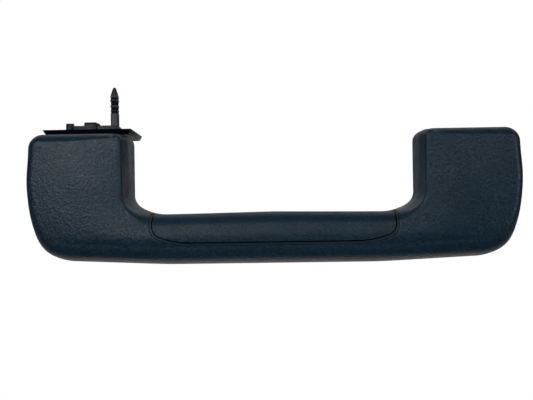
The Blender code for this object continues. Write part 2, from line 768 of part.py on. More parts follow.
def turned_solid(bm, profile, at, sides=14):
    """A solid turned about Y: rings at each (radius, y) of the profile, bridged and capped."""
    rings = []
    for radius, y in profile:
        angles = [2 * math.pi * k / sides for k in range(sides)]
        rings.append([
            bm.verts.new((at[0] + radius * math.cos(a), y, at[1] + radius * math.sin(a))) for a in angles
        ])
    for low, high in zip(rings, rings[1:]):
        for k in range(sides):
            ahead = (k + 1) % sides
            bm.faces.new((low[k], low[ahead], high[ahead], high[k]))
    bm.faces.new(rings[0])
    bm.faces.new(rings[-1])
    return bm


def make_pin(name, side, handle):
    """A headed pin through both ears, with a groove for its clip at the end towards the grip."""
    at = (side * BRACKET_CENTRE, 0.0, 0.0)
    face = EAR_INNER + EAR_THICKNESS + FIT_GAP
    pin = place(name, cylinder(PIN_RADIUS, *sorted((side * face, -side * PIN_END))), handle, steel, at)
    head = cylinder(PIN_HEAD_RADIUS, *sorted((side * face, side * (face + PIN_HEAD_LENGTH))))
    combine(pin, place(f"{name}_head", head, handle, location=at), "UNION")
    low, high = sorted((-side * face, -side * (face + CLIP_THICKNESS + FIT_GAP)))
    groove = turned_ring(PIN_RADIUS - GROOVE_DEPTH, PIN_RADIUS + FIT_GAP, low, high)
    combine(pin, place(f"{name}_groove", groove, handle, location=at))


def turned_ring(inner, outer, low, high, sides=ROUND_SIDES):
    """A square ring about the pivot axis."""
    bm = bmesh.new()
    rings = []
    for radius, x in ((outer, low), (outer, high), (inner, high), (inner, low)):
        angles = [2 * math.pi * k / sides for k in range(sides)]
        rings.append([bm.verts.new((x, radius * math.cos(a), radius * math.sin(a))) for a in angles])
    for ring, beyond in zip(rings, rings[1:] + rings[:1]):
        for k in range(sides):
            ahead = (k + 1) % sides
            bm.faces.new((ring[k], ring[ahead], beyond[ahead], beyond[k]))
    return bm


def make_pin_clip(name, side, handle):
    """A snap ring of sheet steel in the pin's groove, open on one side."""
    face = EAR_INNER + EAR_THICKNESS + FIT_GAP + FIT_GAP / 2
    low, high = sorted((-side * face, -side * (face + CLIP_THICKNESS)))
    inner = PIN_RADIUS - GROOVE_DEPTH + PIN_GAP
    opening = 40
    outline = arc((0.0, 0.0), CLIP_RADIUS, opening, 360 - opening, 16)
    outline += arc((0.0, 0.0), inner, 360 - opening, opening, 16)
    place(name, extrusion(outline, low, high), handle, steel, (side * BRACKET_CENTRE, 0.0, 0.0))


def make_spring(handle):
    """Wire coiled round the right pin; one leg bears on the core plate, the other on the bracket."""
    half = KNUCKLE_INNER - FIT_GAP - 2 * SPRING_WIRE
    steps = round((SPRING_TURNS + 0.5) * SPRING_SIDES)
    points = [(-half, CORE_BACK + FIT_GAP + SPRING_WIRE, SPRING_COIL)]
    for step in range(steps + 1):
        angle = 2 * math.pi * step / SPRING_SIDES
        x = -half + 2 * half * step / steps
        points.append((x, SPRING_COIL * math.sin(angle), SPRING_COIL * math.cos(angle)))
    points.append((half, PLATE_FRONT - FIT_GAP - SPRING_WIRE, -SPRING_COIL))
    curve = bpy.data.curves.new("torsion_spring", "CURVE")
    curve.dimensions = "3D"
    curve.bevel_depth = SPRING_WIRE
    curve.bevel_resolution = 1
    curve.use_fill_caps = True
    spline = curve.splines.new("POLY")
    spline.points.add(len(points) - 1)
    for slot, point in zip(spline.points, points):
        slot.co = (*point, 1.0)
    curve.materials.append(steel)
    spring = bpy.data.objects.new("torsion_spring", curve)
    spring.location = (BRACKET_CENTRE, 0.0, 0.0)
    spring.parent = handle
    parts.objects.link(spring)


def make_damper_body(handle):
    """The damper's housing: a sleeve with a foot that bears on the core plate."""
    half = DAMPER_LENGTH / 2
    at = (-BRACKET_CENTRE, 0.0, 0.0)
    body = place("damper_body", cylinder(DAMPER_RADIUS, -half, half), handle, inner_plastic, at)
    foot = box((-half, CORE_BACK + FIT_GAP, -DAMPER_RADIUS / 2), (half, -DAMPER_BORE, DAMPER_RADIUS / 2))
    combine(body, place("damper_foot", foot, handle, location=at), "UNION")
    combine(body, place("damper_bore", cylinder(DAMPER_BORE, -BEYOND, BEYOND), handle, location=at))


# Pieces of a bracket


def make_bracket(name, side, axis):
    """The moulded bracket, folded. Its own x runs across it, and inward is towards the grip."""
    inward = -side
    at = (side * BRACKET_CENTRE, 0.0, 0.0)
    overlap = PLATE_THICKNESS / 2
    taper = 1 - 2 * PLATE_BEVEL / PLATE_WIDTH
    plate = extrusion(plate_outline(), SEAT, PLATE_FRONT, "Y", taper)
    bracket = place(name, plate, axis, bracket_plastic, at)

    def add(label, bm, operation="UNION"):
        combine(bracket, place(f"{name}_{label}", bm, axis, location=at), operation)

    for number, start in enumerate((-KNUCKLE_INNER - KNUCKLE_THICKNESS, KNUCKLE_INNER)):
        arm = extrusion(eye(KNUCKLE_RADIUS, PLATE_FRONT + overlap), start, start + KNUCKLE_THICKNESS)
        add(f"knuckle_{number}", arm)
    bore_radius = PIN_RADIUS + PIN_GAP + BUSH_WALL + PIN_GAP
    add("bore", cylinder(bore_radius, -PLATE_WIDTH / 2, PLATE_WIDTH / 2), "DIFFERENCE")

    near = -FEATURE_DROP + PLATFORM_DEPTH / 2
    far = -FEATURE_DROP - PLATFORM_DEPTH / 2
    top = SEAT + PLATFORM_HEIGHT
    slope = PLATFORM_HEIGHT / 2
    ridge_side = [
        (PLATFORM_OUTER, SEAT - overlap), (PLATFORM_OUTER, top), (PLATFORM_INNER - slope, top),
        (PLATFORM_INNER, top - slope), (PLATFORM_INNER, SEAT - overlap),
    ]
    ridge = [(inward * across, y) for across, y in ridge_side]
    add("platform", extrusion(ridge, near, far, "Z"))
    boss_at = (inward * BOSS_PLACE, -FEATURE_DROP)
    boss_top = SEAT + BOSS_HEIGHT
    add("boss", cylinder(BOSS_RADIUS, SEAT - overlap, boss_top, "Y", boss_at, end_radius=BOSS_RADIUS * 0.9))
    add("boss_hole", cylinder(BOSS_BORE, SEAT, boss_top + BEYOND, "Y", boss_at, sides=12), "DIFFERENCE")
    for number, middle in enumerate((-RIB_PLACE, RIB_PLACE)):
        rib = box(
            (middle - RIB_THICKNESS / 2, PLATE_FRONT - RIB_HEIGHT, -PLATE_BELOW + 2 * PLATE_FAR_CORNER),
            (middle + RIB_THICKNESS / 2, PLATE_FRONT + overlap, -BARREL_RADIUS - 2 * SWING_GAP),
        )
        add(f"rib_{number}", rib)
    start, end = spring_clip_span(side)
    post_top = SEAT + SPRING_CLIP_HEIGHT - SPRING_CLIP_SHEET - FIT_GAP
    block = box((start + FIT_GAP, top - overlap, far + FIT_GAP), (end - FIT_GAP, post_top, near - FIT_GAP))
    add("clip_block", block)
    notch_at = (inward * (BLOCK_PLACE + SPRING_CLIP_WIDTH / 2 + PLATFORM_NOTCH), top)
    notch = cylinder(PLATFORM_NOTCH, far - BEYOND, near + BEYOND, "Z", notch_at, sides=12)
    add("notch", notch, "DIFFERENCE")
    middle = inward * LOCK_PLACE
    half_width = LOCK_WIDTH / 2 + FIT_GAP
    half_depth = LOCK_DEPTH / 2 + FIT_GAP
    hole = box(
        (middle - half_width, PLATE_FRONT - BEYOND, -FEATURE_DROP - half_depth),
        (middle + half_width, top + BEYOND, -FEATURE_DROP + half_depth),
    )
    add("lock_hole", hole, "DIFFERENCE")


def spring_clip_span(side):
    """Where the spring clip starts and ends across the bracket."""
    middle = -side * BLOCK_PLACE
    return middle - SPRING_CLIP_WIDTH / 2, middle + SPRING_CLIP_WIDTH / 2


def make_spring_clip(name, side, axis):
    """Sheet folded over the platform: a top and two legs that stand on the plate, chamfered inwards."""
    near = -FEATURE_DROP + PLATFORM_DEPTH / 2 + FIT_GAP
    far = -FEATURE_DROP - PLATFORM_DEPTH / 2 - FIT_GAP
    foot = SEAT + FIT_GAP
    top = SEAT + SPRING_CLIP_HEIGHT
    sheet = SPRING_CLIP_SHEET
    profile = [
        (foot, near), (foot, near + sheet), (top - sheet, near + sheet), (top, near),
        (top, far), (top - sheet, far - sheet), (foot, far - sheet), (foot, far),
        (top - sheet, far), (top - sheet, near),
    ]
    start, end = spring_clip_span(side)
    at = (side * BRACKET_CENTRE, 0.0, 0.0)
    clip = place(name, extrusion(profile, start, end), axis, clip_steel, at)
    inner_end = start if side > 0 else end
    corner = [
        (inner_end + side * CLIP_CHAMFER, top + FIT_GAP), (inner_end - side * FIT_GAP, top + FIT_GAP),
        (inner_end - side * FIT_GAP, top - CLIP_CHAMFER),
    ]
    chamfer = extrusion(corner, near + BEYOND, far - BEYOND, "Z")
    combine(clip, place(f"{name}_chamfer", chamfer, axis, location=at))


def make_locking_pin(name, side, axis):
    """The barbed pin: a flat shank through the bracket, four barbs on all sides and a blunt tip."""
    at = (side * BRACKET_CENTRE, 0.0, 0.0)
    centre = (-side * LOCK_PLACE, -FEATURE_DROP)
    bm = bmesh.new()
    rings = []
    for share, growth in ((None, 0.0),) + LOCK_LEVELS:
        y = PLATE_FRONT if share is None else SEAT + LOCK_HEIGHT * share
        wide = LOCK_WIDTH / 2 + growth
        deep = LOCK_DEPTH / 2 + growth * (LOCK_DEPTH / LOCK_WIDTH)
        cut = min(LOCK_CORNER, wide / 2)
        quarter = [(wide, deep - cut), (wide - cut, deep)]
        half = quarter + [(-x, z) for x, z in reversed(quarter)]
        outline = half + [(-x, -z) for x, z in half]
        rings.append([bm.verts.new((centre[0] + x, y, centre[1] + z)) for x, z in outline])
    for low, high in zip(rings, rings[1:]):
        for k in range(len(low)):
            ahead = (k + 1) % len(low)
            bm.faces.new((low[k], low[ahead], high[ahead], high[k]))
    bm.faces.new(rings[0])
    bm.faces.new(rings[-1])
    place(name, bm, axis, pin_plastic, at)


def make_bush(name, side, start, axis):
    """A sleeve in one knuckle, on the pin."""
    inner = PIN_RADIUS + PIN_GAP
    at = (side * BRACKET_CENTRE, 0.0, 0.0)
    sleeve = turned_ring(inner, inner + BUSH_WALL, start, start + KNUCKLE_THICKNESS)
    place(name, sleeve, axis, pin_plastic, at)


def make_rotor(axis):
    """The damper's rotor: a sleeve in the housing and a flange beside the left bracket's knuckle."""
    at = (-BRACKET_CENTRE, 0.0, 0.0)
    inner = PIN_RADIUS + PIN_GAP
    end = KNUCKLE_INNER - FIT_GAP
    rotor = place("damper_rotor", cylinder(inner + ROTOR_WALL, -end, end), axis, steel, at)
    flange = cylinder(ROTOR_FLANGE_RADIUS, DAMPER_LENGTH / 2 + FIT_GAP, end)
    combine(rotor, place("rotor_flange", flange, axis, location=at), "UNION")
    combine(rotor, place("rotor_bore", cylinder(inner, -BEYOND, BEYOND), axis, location=at))


for leftover in list(bpy.data.objects):
    bpy.data.objects.remove(leftover)

parts = new_collection("roof_grab_handle")
cutters = new_collection("cutters")

shell_plastic = new_material("shell_plastic", (0.030, 0.042, 0.054), 0.55)
insert_soft = new_material("insert_soft", (0.022, 0.034, 0.044), 0.65)
inner_plastic = new_material("inner_plastic", (0.045, 0.052, 0.060), 0.50)
bracket_plastic = new_material("bracket_plastic", (0.012, 0.016, 0.020), 0.45)
pin_plastic = new_material("pin_plastic", (0.040, 0.052, 0.060), 0.45)
rubber = new_material("rubber", (0.015, 0.015, 0.016), 0.80)
steel = new_material("steel", (0.45, 0.46, 0.47), 0.35, 1.0)
clip_steel = new_material("clip_steel", (0.030, 0.036, 0.040), 0.40, 0.6)

pivot = (-BRACKET_CENTRE, -SEAT, SEAT_POINT_DROP)
right_axis = new_axis("right_bracket_axis", pivot)
handle_axis = new_axis("handle_axis", (0.0, 0.0, 0.0), parent=right_axis)
left_axis = new_axis("left_bracket_axis", (0.0, 0.0, 0.0), math.radians(90), handle_axis)

make_front_shell(handle_axis)
make_insert(handle_axis)
make_carrier(handle_axis)
make_rear_shell(handle_axis)
make_core_frame(handle_axis)
for number, screw_place in enumerate(screw_places(), 1):
    make_screw(f"shell_screw_{number}", screw_place, handle_axis)
make_spring(handle_axis)
make_damper_body(handle_axis)
for word, where, bracket_axis in (("right", 1, right_axis), ("left", -1, left_axis)):
    make_pin(f"{word}_hinge_pin", where, handle_axis)
    make_pin_clip(f"{word}_pin_clip", where, handle_axis)
    make_buffer(f"{word}_stop_buffer", where, handle_axis)
    make_bracket(f"{word}_bracket", where, bracket_axis)
    make_spring_clip(f"{word}_spring_clip", where, bracket_axis)
    make_locking_pin(f"{word}_locking_pin", where, bracket_axis)
    for bush_word, bush_start in (("left", -KNUCKLE_INNER - KNUCKLE_THICKNESS), ("right", KNUCKLE_INNER)):
        make_bush(f"{word}_bracket_{bush_word}_bush", where, bush_start, bracket_axis)
make_rotor(left_axis)
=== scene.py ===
"""The looks of the roof grab handle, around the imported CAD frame.

The moulded covers, the grip panel and its tray are made again here from the same outline with many more
faces, so that the edges roll smoothly and the seam has rounded lips. The barbed pins are made again with
finer ribs, and the brackets from their CAD meshes. All other pieces are the CAD solids with softened
edges. Every surface gets a procedural material.
"""
import math

import bmesh
import bpy
from mathutils import Matrix, Vector
from mathutils.bvhtree import BVHTree


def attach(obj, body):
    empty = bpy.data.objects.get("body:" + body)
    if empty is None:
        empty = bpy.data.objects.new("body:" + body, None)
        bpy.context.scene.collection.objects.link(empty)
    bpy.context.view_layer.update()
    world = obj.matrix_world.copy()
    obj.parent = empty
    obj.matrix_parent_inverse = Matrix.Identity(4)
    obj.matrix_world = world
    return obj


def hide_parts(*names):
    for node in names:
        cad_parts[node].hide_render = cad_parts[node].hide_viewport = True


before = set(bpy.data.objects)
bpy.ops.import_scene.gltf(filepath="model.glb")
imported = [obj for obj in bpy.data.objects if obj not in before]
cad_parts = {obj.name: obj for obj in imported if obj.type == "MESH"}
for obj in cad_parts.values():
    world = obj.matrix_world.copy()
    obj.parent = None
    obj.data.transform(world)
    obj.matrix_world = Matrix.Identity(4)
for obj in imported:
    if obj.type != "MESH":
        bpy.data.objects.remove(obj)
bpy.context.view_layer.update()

# Sizes of the handle, as in the CAD model, in metres about the pivot axis
HALF = 0.12065
HANDLE_HEIGHT = 0.0647
HANDLE_DEPTH = 0.0242
PAD_WIDTH = 0.0487
GRIP_HEIGHT = 0.0252
PAD_TOP = 0.0065
BOTTOM = PAD_TOP - HANDLE_HEIGHT
GRIP_TOP = BOTTOM + GRIP_HEIGHT
FRONT = PAD_TOP - HANDLE_DEPTH
PAD_INNER = HALF - PAD_WIDTH
GRIP_BACK = 0.0043
SHELL_WALL = 0.0022
BARREL_WALL = 0.0018
RIM_LIP = 0.0003
PAD_CROWN = 0.0010
GRIP_CROWN = 0.0007
FIT_GAP = 0.0003
SEAM_GAP = 0.0005
SWING_GAP = 0.0004
GRIP_SPLIT = -0.0037
GRIP_END = PAD_INNER - 0.0050
BACK_FLARE_START = PAD_INNER - 0.0320
INSERT_END = PAD_INNER - 0.01345
INSERT_BOTTOM = GRIP_TOP - 0.0141
INSERT_BEND = 0.00585
INSERT_BEND_RISE = 0.00415
INSERT_SWEEP = 0.0420
INSERT_SWEEP_RUN = 0.01107
INSERT_THICKNESS = 0.0020
INSERT_BACK = GRIP_SPLIT - FIT_GAP / 2
CARRIER_STRIP = 0.0010
CARRIER_THICKNESS = 0.0012
CARRIER_SINK = 0.0005
BRACKET_CENTRE = HALF - 0.0273
KNUCKLE_INNER = 0.0068
KNUCKLE_THICKNESS = 0.0046
KNUCKLE_RADIUS = 0.0044
PLATE_FRONT = PAD_TOP + SWING_GAP
SEAT = PLATE_FRONT + 0.0024
FEATURE_DROP = 0.0120
PLATE_ABOVE = 0.0060
PLATE_BELOW = HANDLE_HEIGHT * 0.598
PLATE_HALF = PAD_WIDTH / 2 - 0.00335
# The left plate's edges are drawn out beyond this distance from its middle. The inner and the outer edge
# move by these amounts at the pivot's end and at the other end, towards the handle's middle if above zero.
PLATE_EDGE_FROM = 0.0160
PLATE_INNER_MOVE = (0.0017, 0.0004)
PLATE_OUTER_MOVE = (-0.00075, 0.0)
# The right plate's upper inner corner, which the pad hides, is rounded by this radius
PLATE_HIDDEN_CORNER = 0.0045
BRACKET_EDGE_ROUNDING = 0.00018
# What stands higher than this above the bracket's seat is painted a little lighter as painted light; the rest
# is painted shade
SEAT_SPARE = 0.0002
LOCK_PLACE = 0.0107
LOCK_WIDTH = 0.0036
LOCK_DEPTH = 0.0049
LOCK_HEIGHT = 0.0238
LOCK_CORNER = 0.00045
# The barbed pin's levels as a share of its height, and how far it is grown there on each side, in metres
LOCK_LEVELS = (
    (0.395, 0.0), (0.412, -0.00006), (0.418, -0.00036), (0.424, -0.00044), (0.452, -0.00044),
    (0.458, -0.00030), (0.462, 0.00000), (0.470, 0.00002), (0.480, -0.00006), (0.486, -0.00036),
    (0.492, -0.00046), (0.536, -0.00046), (0.542, -0.00030), (0.546, 0.00002), (0.560, 0.00004),
    (0.590, -0.00012), (0.600, -0.00037), (0.606, -0.00046), (0.668, -0.00046), (0.674, -0.00030),
    (0.680, 0.00008), (0.692, 0.00010), (0.720, -0.00012), (0.726, -0.00037), (0.732, -0.00044),
    (0.752, -0.00044), (0.758, -0.00008), (0.766, 0.0), (0.800, -0.00010), (0.860, -0.00040),
    (0.920, -0.00078), (0.970, -0.00108), (0.984, -0.00125),
)
# Where the ribs end, how much of their growth goes to the pin's width and to its depth, and the grooves
# painted dark as painted shade
RIBS_END = 0.76
NECK_SHALLOWER = 0.12
NECK_DEEPER = 1.6
LOCK_GROOVES = ((0.413, 0.460), (0.482, 0.545), (0.592, 0.678), (0.722, 0.756))
# How far cutters reach past what they cut
BEYOND = 0.010
CUTTER_SPARE = 0.001

# How finely the covers are cut into faces
STATIONS = 110
RUNGS = 18
FILLET_STEPS = 12
SEAM_STEPS = 30
STEP_LENGTH = 0.014
STEP_ANGLE = math.radians(13)
SMOOTH_BELOW = math.radians(35)

PIVOT = Vector((-BRACKET_CENTRE, -SEAT, 0.028))
HANDLE_BODY = "handle"

# The outline of the front, as corners. Each has its distance in from the pad's outer or inner side, its
# height, its corner radius, the width and depth of the edge rounding there, and how far the wall flares out
# towards the back. Distances and radii are shares of the pad's width, heights of the handle's or the grip's
# height, and the rest of the handle's depth.
OUTER_SHAPE = (
    (1.402, 0.0, 5.34, 0.372, 0.393, 0.008),
    (0.363, 0.037, 0.534, 0.372, 0.380, 0.012),
    (0.177, 0.1005, 0.308, 0.331, 0.351, 0.012),
    (0.0924, 0.198, 0.452, 0.273, 0.310, 0.012),
    (0.0226, 0.386, 1.44, 0.215, 0.269, 0.012),
    (0.0, 0.606, 1.75, 0.186, 0.227, 0.012),
)
INNER_SHAPE = (
    (0.2146, -0.036, 0.534, 0.289, 0.351, 0.012),
    (-0.001, 0.198, 0.164, 0.080, 0.600, 0.021),
)
TOP_OUTER = (0.0226, 0.150, 0.215, 0.300, 0.0)
TOP_INNER = (0.085, 0.110, 0.450, 0.021)
EASE_REACH = 0.0110
BACK_ROUNDING = (1.0, 0.72)
MIN_FILLET = 0.0002
SQUARE = (0.0, 0.0)
# An edge rounding that is more than this many times deeper than wide goes over into a sloping wall with a
# small corner. The other two are the corner's share of the width, and how the slope starts at the back.
DRAFT_FROM = 2.0
DRAFT_CORNER = 0.5
DRAFT_POWER = 1.2


def shape_corners(shape, side_x, level, height):
    """Turns rows of shares into corners in metres, from the middle of the handle outwards."""
    corners = [
        (side_x - across * PAD_WIDTH, level + up * height, radius * PAD_WIDTH)
        + (width * HANDLE_DEPTH, depth * HANDLE_DEPTH, flare * HANDLE_DEPTH)
        for across, up, radius, width, depth, flare in shape
    ]
    return [(0.0, level, 0.0) + corners[0][3:]] + corners


def top_corner(x, radius, width, depth, flare):
    form = (width * HANDLE_DEPTH, depth * HANDLE_DEPTH, flare * HANDLE_DEPTH)
    return (x, PAD_TOP, radius * PAD_WIDTH) + form


OUTER_CORNERS = shape_corners(OUTER_SHAPE, HALF, BOTTOM, HANDLE_HEIGHT)
OUTER_CORNERS.append(top_corner(HALF - TOP_OUTER[0] * PAD_WIDTH, *TOP_OUTER[1:]))
OUTER_CORNERS.append(top_corner(PAD_INNER, *TOP_OUTER[1:]))
INNER_CORNERS = shape_corners(INNER_SHAPE, PAD_INNER, GRIP_TOP, GRIP_HEIGHT)
INNER_CORNERS.append(top_corner(PAD_INNER, *TOP_INNER))
INNER_CORNERS.append(top_corner(HALF, *TOP_INNER))


# Materials


def new_nodes(name):
    material = bpy.data.materials.new(name)
    material.use_nodes = True
    nodes = material.node_tree.nodes
    return material, nodes, material.node_tree.links, nodes["Principled BSDF"]


def texture(nodes, links, kind, coordinates, scale, **settings):
    node = nodes.new(kind)
    node.inputs["Scale"].default_value = scale
    for name, value in settings.items():
        node.inputs[name].default_value = value
    links.new(coordinates, node.inputs["Vector"])
    return node


def ramp(nodes, links, source, stops):
    node = nodes.new("ShaderNodeValToRGB")
    links.new(source, node.inputs["Fac"])
    elements = node.color_ramp.elements
    while len(elements) < len(stops):
        elements.new(0.5)
    for element, (position, value) in zip(elements, stops):
        element.position = position
        element.color = (*value, 1.0) if isinstance(value, tuple) else (value, value, value, 1.0)
    return node.outputs["Color"]


def vector_math(nodes, links, operation, first, second):
    node = nodes.new("ShaderNodeVectorMath")
    node.operation = operation
    links.new(first, node.inputs[0])
    node.inputs[1].default_value = second
    return node.outputs["Vector"]


def feed(links, value, socket):
    """Sets a socket to a colour or number, or links an output to it."""
    if isinstance(value, tuple):
        socket.default_value = (*value, 1.0)
    elif isinstance(value, float):
        socket.default_value = value
    else:
        links.new(value, socket)


def mix_colour(nodes, links, factor, first, second, blend="MIX"):
    node = nodes.new("ShaderNodeMix")
    node.data_type = "RGBA"
    node.blend_type = blend
    for value, socket in ((factor, node.inputs[0]), (first, node.inputs[6]), (second, node.inputs[7])):
        feed(links, value, socket)
    return node.outputs[2]


def multiply_add(nodes, links, first, second, added):
    node = nodes.new("ShaderNodeMath")
    node.operation = "MULTIPLY_ADD"
    for value, socket in zip((first, second, added), node.inputs):
        feed(links, value, socket)
    return node.outputs["Value"]


def moulded(name, colour, roughness, grain_size=0.0, grain_depth=0.0, specular=0.35, mottle=0.10, wear=0.05,
            speckled=0.15, marks=()):
    """Moulded plastic: a pebbled grain, faint blotches and slightly lighter high spots."""
    material, nodes, links, shader = new_nodes(name)
    place = nodes.new("ShaderNodeTexCoord").outputs["Object"]
    shader.inputs["Specular IOR Level"].default_value = specular
    blotches = texture(nodes, links, "ShaderNodeTexNoise", place, 90.0, Detail=4.0, Roughness=0.6)
    specks = texture(nodes, links, "ShaderNodeTexNoise", place, 1250.0, Detail=3.0, Roughness=0.7)
    darker = tuple(c * (1 - mottle) for c in colour)
    lighter = tuple(c * (1 + mottle) for c in colour)
    base = ramp(nodes, links, blotches.outputs["Fac"], ((0.35, darker), (0.65, lighter)))
    speckle = ramp(nodes, links, specks.outputs["Fac"], ((0.36, 1 - speckled), (0.64, 1 + speckled)))
    base = mix_colour(nodes, links, 1.0, base, speckle, "MULTIPLY")
    edges = nodes.new("ShaderNodeNewGeometry").outputs["Pointiness"]
    worn = ramp(nodes, links, edges, ((0.52, 0.0), (0.60, wear)))
    scuffed = tuple(min(c * 1.8 + 0.010, 1.0) for c in colour)
    base = mix_colour(nodes, links, worn, base, scuffed)
    for centre, radii, tilt, tone, strength in marks:
        away = vector_math(nodes, links, "SUBTRACT", place, centre)
        upright = nodes.new("ShaderNodeMapping")
        upright.inputs["Rotation"].default_value = (0.0, -tilt, 0.0)
        links.new(away, upright.inputs["Vector"])
        scaled = vector_math(nodes, links, "DIVIDE", upright.outputs["Vector"], radii)
        length = nodes.new("ShaderNodeVectorMath")
        length.operation = "LENGTH"
        links.new(scaled, length.inputs[0])
        inside = ramp(nodes, links, length.outputs["Value"], ((0.35, strength), (1.0, 0.0)))
        base = mix_colour(nodes, links, inside, base, tone)
    links.new(base, shader.inputs["Base Color"])
    patchy = texture(nodes, links, "ShaderNodeTexNoise", place, 220.0, Detail=3.0)
    rough = ramp(nodes, links, patchy.outputs["Fac"], ((0.3, roughness - 0.05), (0.7, roughness + 0.06)))
    links.new(rough, shader.inputs["Roughness"])
    if grain_size:
        pebbles = texture(nodes, links, "ShaderNodeTexVoronoi", place, 1 / grain_size, Randomness=1.0)
        pebbles.feature = "SMOOTH_F1"
        ripple = texture(
            nodes, links, "ShaderNodeTexNoise", place, 0.6 / grain_size, Detail=3.0, Roughness=0.65,
        )
        height = multiply_add(nodes, links, ripple.outputs["Fac"], 0.9, pebbles.outputs["Distance"])
        bump = nodes.new("ShaderNodeBump")
        bump.inputs["Strength"].default_value = 1.0
        bump.inputs["Distance"].default_value = grain_depth
        bump.invert = True
        links.new(height, bump.inputs["Height"])
        links.new(bump.outputs["Normal"], shader.inputs["Normal"])
    return material


def metal(name, colour, roughness, metallic=1.0, streak=160.0):
    """Plated or coated steel: fine streaks along x, faint tarnish and brighter edges."""
    material, nodes, links, shader = new_nodes(name)
    place = nodes.new("ShaderNodeTexCoord").outputs["Object"]
    stretch = nodes.new("ShaderNodeMapping")
    stretch.inputs["Scale"].default_value = (0.08, 1.0, 1.0)
    links.new(place, stretch.inputs["Vector"])
    shader.inputs["Metallic"].default_value = metallic
    tarnish = texture(nodes, links, "ShaderNodeTexNoise", place, streak, Detail=5.0)
    tones = (tuple(c * 0.80 for c in colour), tuple(min(c * 1.12, 1.0) for c in colour))
    base = ramp(nodes, links, tarnish.outputs["Fac"], ((0.35, tones[0]), (0.65, tones[1])))
    edges = nodes.new("ShaderNodeNewGeometry").outputs["Pointiness"]
    worn = ramp(nodes, links, edges, ((0.52, 0.0), (0.62, 0.5)))
    base = mix_colour(nodes, links, worn, base, tuple(min(c * 1.6 + 0.02, 1.0) for c in colour))
    links.new(base, shader.inputs["Base Color"])
    lines = texture(nodes, links, "ShaderNodeTexNoise", stretch.outputs["Vector"], 4000.0, Detail=2.0)
    rough = ramp(nodes, links, lines.outputs["Fac"], ((0.3, roughness - 0.06), (0.7, roughness + 0.08)))
    links.new(rough, shader.inputs["Roughness"])
    bump = nodes.new("ShaderNodeBump")
    bump.inputs["Distance"].default_value = 0.00001
    links.new(lines.outputs["Fac"], bump.inputs["Height"])
    links.new(bump.outputs["Normal"], shader.inputs["Normal"])
    return material


# Handling marks on the pads: a light scratch with a dark line beside it, a long faint line and a brownish
# smudge. Each has its middle, its half sizes, its tilt, its tone and its strength.
PAD_MARKS = (
    ((-0.1788, -0.028, 0.0298), (0.00035, 0.02, 0.0011), 0.33, (0.060, 0.085, 0.100), 0.6),
    ((-0.1804, -0.028, 0.0273), (0.00030, 0.02, 0.0013), 0.50, (0.001, 0.004, 0.010), 0.7),
    ((-0.2046, -0.028, -0.0036), (0.00045, 0.02, 0.0068), 0.34, (0.001, 0.005, 0.010), 0.45),
    ((-0.0118, -0.028, 0.0004), (0.0022, 0.02, 0.0016), 0.0, (0.014, 0.012, 0.012), 0.75),
)
shell_look = moulded(
    "shell_grain", (0.0048, 0.0155, 0.0265), 0.37, 0.0010, 0.00015,
    specular=0.5, speckled=0.6, marks=PAD_MARKS,
)
insert_look = moulded(
    "insert_grain", (0.0048, 0.0150, 0.0250), 0.41, 0.0009, 0.00012,
    specular=0.45, speckled=0.55,
)
inner_look = moulded("inner_plain", (0.0080, 0.0165, 0.0250), 0.50, 0.00040, 0.00001, specular=0.4)
# The bracket's plate is painted near black as painted shade, its raised features lighter as painted light
bracket_shaded_look = moulded("bracket_painted_shade", (0.0012, 0.0022, 0.0038), 0.42, 0.00060, 0.00001, specular=0.08)
platform_lit_look = moulded("platform_painted_light", (0.0065, 0.0130, 0.0205), 0.42, 0.00060, 0.00002, specular=0.5)
# A near-black material that paints shade into the pin's grooves and the seam's depths
groove_shade_look = moulded("groove_painted_shade", (0.0008, 0.0016, 0.0030), 0.60, 0.00060, 0.00001, specular=0.15)
pin_look = moulded("pin_plain", (0.0120, 0.0190, 0.0260), 0.42, 0.00050, 0.00001, specular=0.5)
rubber_look = moulded("rubber_plain", (0.0100, 0.0100, 0.0105), 0.80, 0.00030, 0.00002)
steel_look = metal("steel_plated", (0.45, 0.46, 0.47), 0.34)
clip_look = metal("clip_coated", (0.020, 0.026, 0.030), 0.42, metallic=0.7)


# The moulded skin, as in the CAD model


def chain_pieces(corners):
    """Splits a chain of rounded corners into straight runs and arcs, each with its edge rounding."""
    pieces = []
    here = Vector(corners[0][:2])
    form = Vector(corners[0][3:])
    for before, corner, after in zip(corners, corners[1:], corners[2:]):
        knee = Vector(corner[:2])
        radius = corner[2]
        entry = (knee - Vector(before[:2])).normalized()
        leaving = (Vector(after[:2]) - knee).normalized()
        turn = math.atan2(entry.x * leaving.y - entry.y * leaving.x, entry.dot(leaving))
        tangent = radius * math.tan(abs(turn) / 2)
        start = knee - entry * tangent
        pieces.append(("run", here, start, form, Vector(corner[3:])))
        pieces.append(("arc", start, entry, turn, radius, Vector(corner[3:])))
        here = knee + leaving * tangent
        form = Vector(corner[3:])
    return pieces


def weight(piece):
    if piece[0] == "run":
        return (piece[2] - piece[1]).length / STEP_LENGTH
    return abs(piece[3]) * (1 / STEP_ANGLE + piece[4] / STEP_LENGTH)


def turned(vector, angle):
    return Vector((
        vector.x * math.cos(angle) - vector.y * math.sin(angle),
        vector.x * math.sin(angle) + vector.y * math.cos(angle),
    ))


def post_at(piece, share, side):
    """Point, outward normal and edge rounding at a share of one piece of a chain."""
    if piece[0] == "run":
        _, start, end, form, next_form = piece
        point = start.lerp(end, share)
        heading = (end - start).normalized()
        rounding = form.lerp(next_form, share)
    else:
        _, start, entry, turn, radius, rounding = piece
        centre = start + turned(entry, math.copysign(math.pi / 2, turn)) * radius
        point = centre + turned(start - centre, turn * share)
        heading = turned(entry, turn * share)
    return point, turned(heading, side * math.pi / 2), rounding


